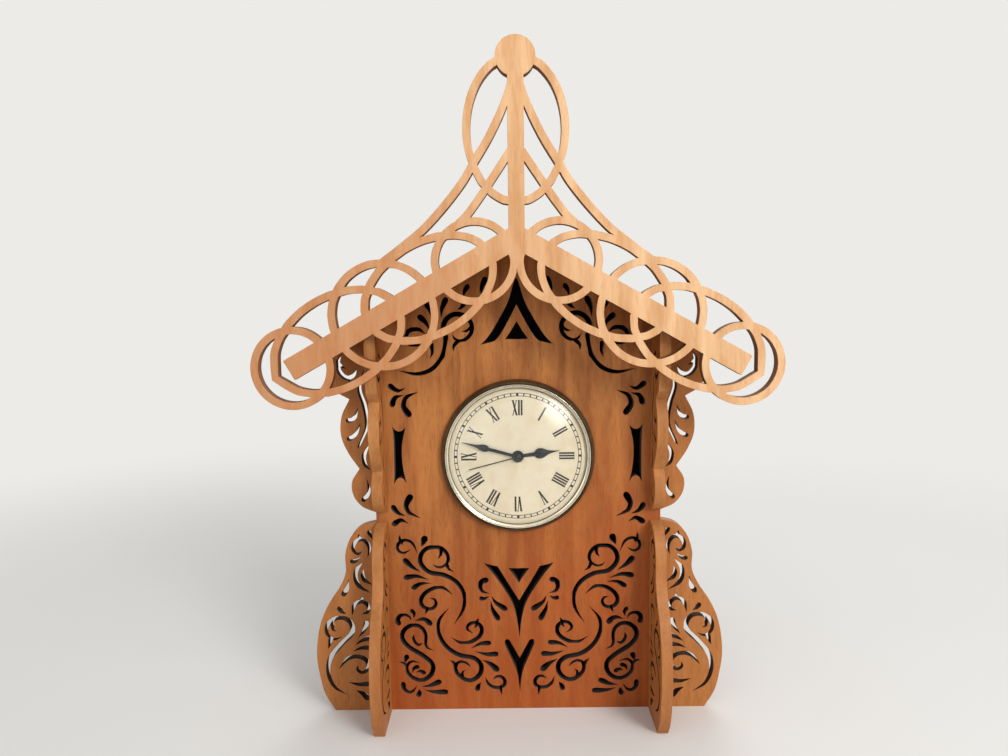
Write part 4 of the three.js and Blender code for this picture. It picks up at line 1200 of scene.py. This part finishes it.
@dataclass
class Turning:
    """A round piece, turned about the dial's axis.

    The profile's points are radius and depth in millimetres. A band has the slot of the point that it
    ends at.
    """

    profile: Sequence[Flat]
    slots: Sequence[int] = ()
    steps: int = 144

    def mesh(self, name: str, axis: Triple) -> bpy.types.Mesh:
        """Turns the profile.

        Args:
            name: The mesh's name.
            axis: A point of the axis, on the plane that the profile is measured from.

        Returns:
            The closed mesh.
        """
        draft = Draft()
        rings = []
        for radius, back in self.profile:
            turns = (2 * math.pi * i / self.steps for i in range(self.steps))
            rings.append(
                draft.ring(
                    (
                        axis[0] + radius * MM * math.cos(t),
                        axis[1] + back * MM,
                        axis[2] + radius * MM * math.sin(t),
                    )
                    for t in turns
                )
            )
        slots = self.slots or [0] * len(rings)
        for i, ring in enumerate(rings):
            following = (i + 1) % len(rings)
            draft.bridge(ring, rings[following], slots[following])
        return draft.mesh(name, tidy=True)


def arc(centre: Flat, size: Flat, start: float, end: float, steps: int) -> list[Flat]:
    """Points of a part of an ellipse.

    Args:
        centre: Its middle, as radius and depth.
        size: Its half width and half height.
        start: First angle in degrees.
        end: Last angle in degrees.
        steps: Number of spans.

    Returns:
        The points.
    """
    turns = (math.radians(start + (end - start) * i / steps) for i in range(steps + 1))
    return [(centre[0] + size[0] * math.cos(t), centre[1] + size[1] * math.sin(t)) for t in turns]


@dataclass
class MinuteMarks:
    """Bars set round the dial."""

    count: int
    radius: float
    length: float
    width: float
    height: float = INK_HEIGHT

    def mesh(self, name: str, axis: Triple, finish: Finish) -> bpy.types.Mesh:
        """Sets the bars with a node tree, and turns the result into a plain mesh.

        Args:
            name: The mesh's name.
            axis: The dial's middle, on the face of the paper.
            finish: What the bars are printed with.

        Returns:
            The mesh.
        """
        tree = bpy.data.node_groups.new(name, "GeometryNodeTree")
        graph = Graph(tree)
        tree.interface.new_socket("Geometry", in_out="OUTPUT", socket_type="NodeSocketGeometry")
        sizes = {
            "Count": ("NodeSocketInt", self.count),
            "Radius": ("NodeSocketFloat", self.radius * MM),
            "Bar": ("NodeSocketVector", (self.width * MM, self.length * MM, self.height * MM)),
            "Material": ("NodeSocketMaterial", finish.material()),
        }
        made = {
            key: tree.interface.new_socket(key, in_out="INPUT", socket_type=kind)
            for key, (kind, _) in sizes.items()
        }
        entry = tree.nodes.new("NodeGroupInput")
        given = {key: Value(graph, Graph.socket(entry.outputs, key)) for key in sizes}
        circle = graph.node(
            "GeometryNodeMeshCircle", inputs={"Vertices": given["Count"], "Radius": given["Radius"]}
        )
        number = graph.node("GeometryNodeInputIndex")
        turn = number * (2 * math.pi / self.count) - math.pi / 2
        angles = graph.node("ShaderNodeCombineXYZ", inputs={"Z": turn})
        turned = graph.node("FunctionNodeEulerToRotation", inputs={"Euler": angles})
        block = graph.node("GeometryNodeMeshCube", inputs={"Size": given["Bar"]})
        spread = graph.node(
            "GeometryNodeInstanceOnPoints",
            inputs={"Points": circle, "Instance": block, "Rotation": turned},
        )
        real = graph.node("GeometryNodeRealizeInstances", inputs={"Geometry": spread})
        inked = graph.node(
            "GeometryNodeSetMaterial", inputs={"Geometry": real, "Material": given["Material"]}
        )
        graph.node("NodeGroupOutput", inputs={"Geometry": inked})
        holder = bpy.data.objects.new(name, bpy.data.meshes.new(name))
        bpy.context.scene.collection.objects.link(holder)
        modifier = holder.modifiers.new(name, "NODES")
        modifier.node_group = tree
        for key, (_, value) in sizes.items():
            modifier[made[key].identifier] = value
        evaluated = bpy.context.evaluated_depsgraph_get()
        mesh = bpy.data.meshes.new_from_object(holder.evaluated_get(evaluated))
        bpy.data.objects.remove(holder)
        mesh.transform(Matrix.Translation(axis) @ Euler((math.pi / 2, 0, 0)).to_matrix().to_4x4())
        return mesh


class Letter(Enum):
    """A letter of the numerals, with the width that it takes up, in millimetres."""

    I = 1.56
    V = 3.2
    X = 3.4


@dataclass
class Numerals:
    """Roman numerals of the dial, set upright from the middle, with thick and thin strokes.

    A serif reaches to both sides of its stroke, and the strokes of a V meet at its point, which is to
    the right of its middle.
    """

    foot: float = 24.3
    height: float = 9.0
    thick: float = 1.06
    thin: float = 0.44
    serif: float = 0.32
    side_gap: float = 0.6
    stem_share: float = 0.85
    thick_reach: float = 0.72
    thin_reach: float = 0.56
    point: float = 0.1
    hours: tuple[str, ...] = tuple("XII I II III IIII V VI VII VIII IX X XI".split())

    def strokes(self, letter: Letter) -> list[list[Flat]]:
        """The strokes of one letter, round its own middle.

        Args:
            letter: The letter.

        Returns:
            Outlines, anticlockwise, in millimetres.
        """
        top = self.height
        foot = self.serif / 2
        half = letter.value / 2
        if letter is Letter.I:
            drawn = [bar((0, 0), (0, top), self.thick)]
            reach = half * self.stem_share
            ends = [(0, self.serif, reach), (0, top, reach)]
        else:
            inner = half - self.side_gap
            ends = [(-inner, top, self.thick_reach), (inner, top, self.thin_reach)]
            thick_foot = thin_foot = self.point
            if letter is Letter.X:
                ends += [(-inner, self.serif, self.thin_reach), (inner, self.serif, self.thick_reach)]
                thick_foot, thin_foot = inner, -inner
            drawn = [
                bar((-inner, top), (thick_foot, 0), self.thick),
                bar((inner, top), (thin_foot, 0), self.thin),
            ]
        for x, z, reach in ends:
            drawn.append(bar((x - reach, z - foot), (x + reach, z - foot), self.serif, False))
        return drawn

    def mesh(self, name: str, axis: Triple) -> bpy.types.Mesh:
        """Sets every hour.

        Args:
            name: The mesh's name.
            axis: The dial's middle, on the face of the paper.

        Returns:
            The mesh.
        """
        draft = Draft()
        for number, hour in enumerate(self.hours):
            turn = math.tau * number / len(self.hours)
            letters = [Letter[character] for character in hour]
            sideways = -sum(letter.value for letter in letters) / 2
            for letter in letters:
                middle = sideways + letter.value / 2
                sideways += letter.value
                for outline in self.strokes(letter):
                    placed = [
                        (
                            (x + middle) * math.cos(turn) + (self.foot + z) * math.sin(turn),
                            (self.foot + z) * math.cos(turn) - (x + middle) * math.sin(turn),
                        )
                        for x, z in outline
                    ]
                    draft.prism(placed, axis[1] - INK_HEIGHT * MM, axis[1], axis)
        return draft.mesh(name)


def bar(start: Flat, end: Flat, width: float, level: bool = True) -> list[Flat]:
    """A straight stroke.

    Args:
        start: Middle of one end.
        end: Middle of the other.
        width: Its width, across where its ends are level and square to it elsewhere.
        level: Whether its ends are cut level.

    Returns:
        Its outline, anticlockwise.
    """
    if level:
        along = Vector((1, 0))
        lean = Vector(end) - Vector(start)
        half = width / 2 * lean.length / max(abs(lean.y), 1e-6)
    else:
        along = Vector((0, 1))
        half = width / 2
    corners = [
        Vector(start) - along * half,
        Vector(start) + along * half,
        Vector(end) + along * half,
        Vector(end) - along * half,
    ]
    outline = [(c.x, c.y) for c in corners]
    return outline if area(outline) > 0 else outline[::-1]


class BezelPart(IntEnum):
    """The bezel's material slots."""

    SLOPE = 0
    LIP = 1
    GROOVE_SHADE = 2


@dataclass
class ClockInsert:
    """The press-in clock: bezel, lens, dial, hands and what holds them.

    Depths are behind the face of the front panel, so what stands out from it is below 0.
    """

    body: str = "insert"
    cup_soft: float = 0.25
    bezel_bore: float = 43.05
    bezel_radius: float = 45.45
    bezel_back: float = -0.1
    lip_bore: float = 40.4
    lip_back: float = -3.25
    lens_rim: float = 42.9
    lens_dome: float = 40.1
    lens_rise: float = 7.6
    lens_power: float = 2.6
    lens_wall: float = 1.1
    lens_gap: float = 0.1
    lens_rings: int = 18
    dial_face: float = -2.0
    dial_radius: float = 43.0
    dial_hole: float = 3.0
    dial_thickness: float = 0.75
    track: Flat = (35.7, 37.4)
    track_line: float = 0.34
    minute_width: float = 0.72
    five_minute_width: float = 1.4
    cap_base: float = -4.65
    cap_rise: float = 0.55
    cap_radius: float = 1.75

    @cached_property
    def axis(self) -> Triple:
        """The middle of the bezel, on the face of the front panel."""
        low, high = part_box("bezel_ring")
        return ((low.x + high.x) / 2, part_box("front_panel")[0].y, (low.z + high.z) / 2)

    def build(self) -> None:
        """Builds the insert from its rim to its hands."""
        self.bezel()
        self.lens()
        self.dial()
        self.hands()
        PlainBoard(
            "insert_cup", self.body, "black_plastic", Finishes.BLACK_PLASTIC, self.cup_soft
        ).build()

    def put(
        self, name: str, mesh: bpy.types.Mesh, finishes: tuple[Finish, ...], slot: str, *nodes: str
    ) -> None:
        """Puts one piece on the insert."""
        Piece(name, mesh, finishes, self.body, slot, nodes).put()

    def bezel(self) -> None:
        """The bronze slope, a groove painted near black as shade, the bright edge at its crown and the
        polished lip inside it.
        """
        wall = [(self.bezel_bore, self.bezel_back), (self.bezel_radius, self.bezel_back)]
        slope = [(self.bezel_radius, -0.8), (45.35, -1.8), (45.05, -2.8)]
        slope += [(44.6, -3.6), (44.0, -4.25), (43.45, -4.65)]
        # The groove's band is painted shade: a near-black ring where the groove's shadow falls.
        groove = [(43.3, -3.9), (42.85, -3.9)]
        crown = arc((42.5, -4.75), (0.25, 0.3), 0, -180, 8)
        lip = [(42.1, -4.4), (41.6, -4.0), (41.2, -3.75), (40.85, -3.6)]
        step = [(40.75, -3.4), (self.lip_bore, -3.35), (self.lip_bore, self.lip_back)]
        stretches = (
            (BezelPart.SLOPE, [*wall, *slope]),
            (BezelPart.GROOVE_SHADE, [*groove, crown[0]]),
            (BezelPart.LIP, [*crown[1:], *lip]),
            (BezelPart.SLOPE, [*step, (self.bezel_bore, self.lip_back)]),
        )
        profile = [point for _, points in stretches for point in points]
        slots = [part for part, points in stretches for _ in points]
        mesh = Turning(profile, slots).mesh("bezel", self.axis)
        finishes = (Finishes.BRONZE, Finishes.NICKEL, Finishes.GROOVE_SHADE)
        self.put("turned_bezel", mesh, finishes, "antique_brass", "bezel_ring")

    def lens(self) -> None:
        """The domed lens, with its rim under the lip."""
        seat = self.dial_face - self.lens_gap
        front = seat - self.lens_wall

        def shell(radius: float, base: float) -> list[Flat]:
            """One face of the dome.

            Args:
                radius: Radius of its edge.
                base: Depth of its edge.

            Returns:
                Its profile, from its edge to its middle.
            """
            shares = [math.cos(math.pi / 2 * i / self.lens_rings) for i in range(self.lens_rings)]
            shares = [math.sin(math.pi / 2 * s) for s in shares] + [0.0]
            rises = [self.lens_rise * (1 - s**self.lens_power) for s in shares]
            return [(radius * s, base - rise) for s, rise in zip(shares, rises)]

        outer = [(self.lens_rim, front), *shell(self.lens_dome, front)]
        inner = [*shell(self.lens_dome - self.lens_wall, seat)[::-1], (self.lens_rim, seat)]
        slots = [0] * len(outer) + [1] * len(inner)
        mesh = Turning([*outer, *inner], slots).mesh("lens", self.axis)
        finishes = (LensFinish("lens_face", mirror=0.95), LensFinish("lens_inside", mirror=0.05))
        self.put("domed_lens", mesh, finishes, "clear_lens", "lens")

    def dial(self) -> None:
        """The printed paper, its minute track and its numerals."""
        face = (self.axis[0], self.axis[1] + self.dial_face * MM, self.axis[2])

        def hoop(inner: float, outer: float, depth: float) -> bpy.types.Mesh:
            """A flat ring on the face of the paper, as deep as said."""
            profile = [(inner, 0), (outer, 0), (outer, depth), (inner, depth)]
            return Turning(profile).mesh("hoop", face)

        paper = PaperFinish(face, self.dial_radius * MM)
        plate = hoop(self.dial_hole, self.dial_radius, self.dial_thickness)
        self.put("dial_paper", plate, (paper,), "dial_paper", "dial_plate")
        ink = (Finishes.INK,)
        half = self.track_line / 2
        for i, line in enumerate(self.track):
            ring = hoop(line - half, line + half, -INK_HEIGHT)
            self.put(f"track_line_{i + 1}", ring, ink, "black_metal")
        middle = sum(self.track) / 2
        length = self.track[1] - self.track[0]
        for name, count, width in (
            ("minute_marks", 60, self.minute_width),
            ("five_minute_marks", 12, self.five_minute_width),
        ):
            marks = MinuteMarks(count, middle, length, width).mesh(name, face, Finishes.INK)
            self.put(name, marks, ink, "black_metal")
        self.put("hour_numerals", Numerals().mesh("numerals", face), ink, "black_metal")

    def hands(self) -> None:
        """The three hands, sawn smooth from their own drawings, and the cap over their hub."""
        for name in ("hour", "minute", "second"):
            SawnBoard(
                f"{name}_hand",
                Facing.FRONT,
                f"{name}_arbor",
                "black_metal",
                (Finishes.BLACK_METAL,) * len(BoardPart),
                corner=math.radians(50),
                long_corner=math.radians(30),
                step=0.3,
                soft=0.06,
            ).build()
        dome = arc((0.0, self.cap_base), (self.cap_radius, self.cap_rise), 0, -90, 8)
        cap = Turning([(0.0, self.cap_base), *dome]).mesh("hub_cap", self.axis)
        Piece("hub_cap", cap, (Finishes.BLACK_METAL,), "second_arbor", "black_metal").put()


@dataclass
class Movement:
    """The quartz movement behind the dial, and its battery."""

    shell_soft: float = 0.3
    knob_soft: float = 0.12
    battery_soft: float = 0.2

    def build(self) -> None:
        """Softens the moulded shells, and dresses what is inside them."""
        for node, body, soft in (
            ("movement_case", "insert", self.shell_soft),
            ("movement_cover", "insert", self.shell_soft),
            ("setting_knob", "motion_arbor", self.knob_soft),
        ):
            PlainBoard(node, body, "black_plastic", Finishes.BLACK_PLASTIC, soft).build()
        low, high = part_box("battery")
        skin = BatteryFinish(low.x, high.x)
        PlainBoard("battery", "battery", "battery_skin", skin, self.battery_soft).build()
        wheels = ("intermediate", "second", "third", "centre", "motion", "hour")
        kept = {
            Finishes.WHITE_PLASTIC: tuple(f"{wheel}_wheel" for wheel in wheels),
            Finishes.STEEL: ("quartz_crystal", "stator", "rotor", "left_contact", "right_contact"),
            Finishes.COPPER: ("coil",),
            Finishes.GREEN_BOARD: ("circuit_board",),
            Finishes.RUBBER: ("gasket_ring",),
        }
        for finish, nodes in kept.items():
            for node in nodes:
                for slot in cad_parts[node].material_slots:
                    slot.material = finish.material()
                LOG.info("%s: dressed as %s", node, finish.name)


@dataclass(frozen=True)
class Softbox:
    """A soft lamp that looks at the clock."""

    name: str
    place: Triple
    size: Flat
    power: float
    colour: Triple = (1.0, 1.0, 1.0)
    aim: Triple = (0.0, 0.0, 0.18)

    def put(self) -> None:
        """Hangs the lamp."""
        light = bpy.data.lights.new(self.name, "AREA")
        light.shape = "ELLIPSE"
        light.size, light.size_y = self.size
        light.energy = self.power
        light.color = self.colour
        lamp = bpy.data.objects.new(self.name, light)
        lamp.location = self.place
        look = Vector(self.aim) - Vector(self.place)
        lamp.rotation_euler = look.to_track_quat("-Z", "Y").to_euler()
        bpy.context.scene.collection.objects.link(lamp)


@dataclass
class Studio:
    """A pale floor, a pale surround, soft lamps and the camera."""

    floor_reach: float = 6.0
    floor_deep: Colour = seen(222, 220, 216)
    floor_pale: Colour = seen(228, 227, 224)
    floor_blend: Flat = (0.3, 1.0)
    backdrop: Colour = seen(236, 235, 232)
    sky: Colour = (0.96, 0.98, 1.0, 1.0)
    ambient: float = 0.4
    sensor: float = 36.0
    focal: float = 26.43
    nearest: float = 0.01
    camera_place: Triple = (-0.0076, -0.4481, 0.2488)
    pitch: float = math.radians(6.0)
    roll: float = math.radians(0.65)
    lamps: tuple[Softbox, ...] = (
        Softbox("key_window", (1.12, -1.26, 1.46), (1.3, 1.3), 10.5, (1.0, 0.98, 0.95)),
        Softbox("low_window", (0.8, -1.15, 0.74), (0.6, 0.6), 11.5, (1.0, 0.99, 0.98)),
        Softbox("left_fill", (-0.75, -1.2, 0.4), (1.0, 1.0), 3.0, (0.98, 0.99, 1.0)),
        Softbox("top_light", (0.0, -0.4, 1.2), (1.2, 0.8), 2.1),
        Softbox("back_fill", (0.3, 1.3, 0.9), (1.2, 1.0), 8.0),
    )

    def build(self) -> None:
        """Sets up everything that isn't the clock."""
        bpy.context.scene.view_settings.view_transform = "Standard"
        self.floor()
        self.surround()
        self.camera()
        for lamp in self.lamps:
            lamp.put()
            LOG.info("%s: %.0f W", lamp.name, lamp.power)

    def floor(self) -> None:
        """The floor, which isn't part of the clock."""
        reach = self.floor_reach
        mesh = bpy.data.meshes.new("floor")
        corners = [(-reach, -reach, 0), (reach, -reach, 0), (reach, reach, 0), (-reach, reach, 0)]
        mesh.from_pydata(corners, [], [(0, 1, 2, 3)])
        floor = bpy.data.objects.new("floor", mesh)
        bpy.context.scene.collection.objects.link(floor)
        paint = Paint("floor_paint")
        cloud = paint.noise(paint.place(), rate=(3, 3, 3), detail=2.0)
        colour = paint.mix(cloud, self.floor_deep, self.floor_pale)
        matt = paint.node(
            "ShaderNodeBsdfPrincipled", inputs={"Base Color": colour, "Roughness": 0.8}
        )
        glow = paint.node("ShaderNodeEmission", inputs={"Color": self.backdrop})
        watched = paint.node("ShaderNodeLightPath", output="Is Camera Ray")
        share = paint.distance(paint.place()).step(*self.floor_blend) * watched
        mesh.materials.append(
            paint.finish(paint.node("ShaderNodeMixShader", inputs={0: share, 1: matt, 2: glow}))
        )

    def surround(self) -> None:
        """A soft light from all round, and a pale backdrop where it is seen."""
        world = bpy.data.worlds.new("surround")
        bpy.context.scene.world = world
        world.use_nodes = True
        graph = Graph(world.node_tree)
        path = graph.tree.nodes.new("ShaderNodeLightPath")
        rays = [
            Value(graph, path.outputs[name])
            for name in ("Is Camera Ray", "Is Glossy Ray", "Is Transmission Ray")
        ]
        shown = (rays[0] + rays[1] + rays[2]).step(0.0, 1.0)
        light = graph.node(
            "ShaderNodeBackground", inputs={"Color": self.sky, "Strength": self.ambient}
        )
        pale = graph.node(
            "ShaderNodeBackground", inputs={"Color": self.backdrop, "Strength": 1.0}
        )
        mixed = graph.node("ShaderNodeMixShader", inputs={0: shown, 1: light, 2: pale})
        graph.node("ShaderNodeOutputWorld", inputs={"Surface": mixed})

    def camera(self) -> None:
        """The camera, at the photograph's viewing angle."""
        data = bpy.data.cameras.new("camera")
        data.sensor_width = self.sensor
        data.lens = self.focal
        data.clip_start = self.nearest
        camera = bpy.data.objects.new("camera", data)
        forward = Vector((0.0, math.cos(self.pitch), -math.sin(self.pitch)))
        level = Vector((1.0, 0.0, 0.0))
        upright = level.cross(forward)
        up = upright * math.cos(self.roll) + level * math.sin(self.roll)
        right = level * math.cos(self.roll) - upright * math.sin(self.roll)
        turn = Matrix((right, up, -forward)).transposed().to_4x4()
        camera.matrix_world = Matrix.Translation(self.camera_place) @ turn
        bpy.context.scene.collection.objects.link(camera)
        bpy.context.scene.camera = camera


def main() -> None:
    """Builds the clock and its studio."""
    logging.basicConfig(level=logging.INFO, format="%(message)s")
    for part in (WoodenCase(), ClockInsert(), Movement(), Studio()):
        part.build()


if __name__ == "__main__":
    main()
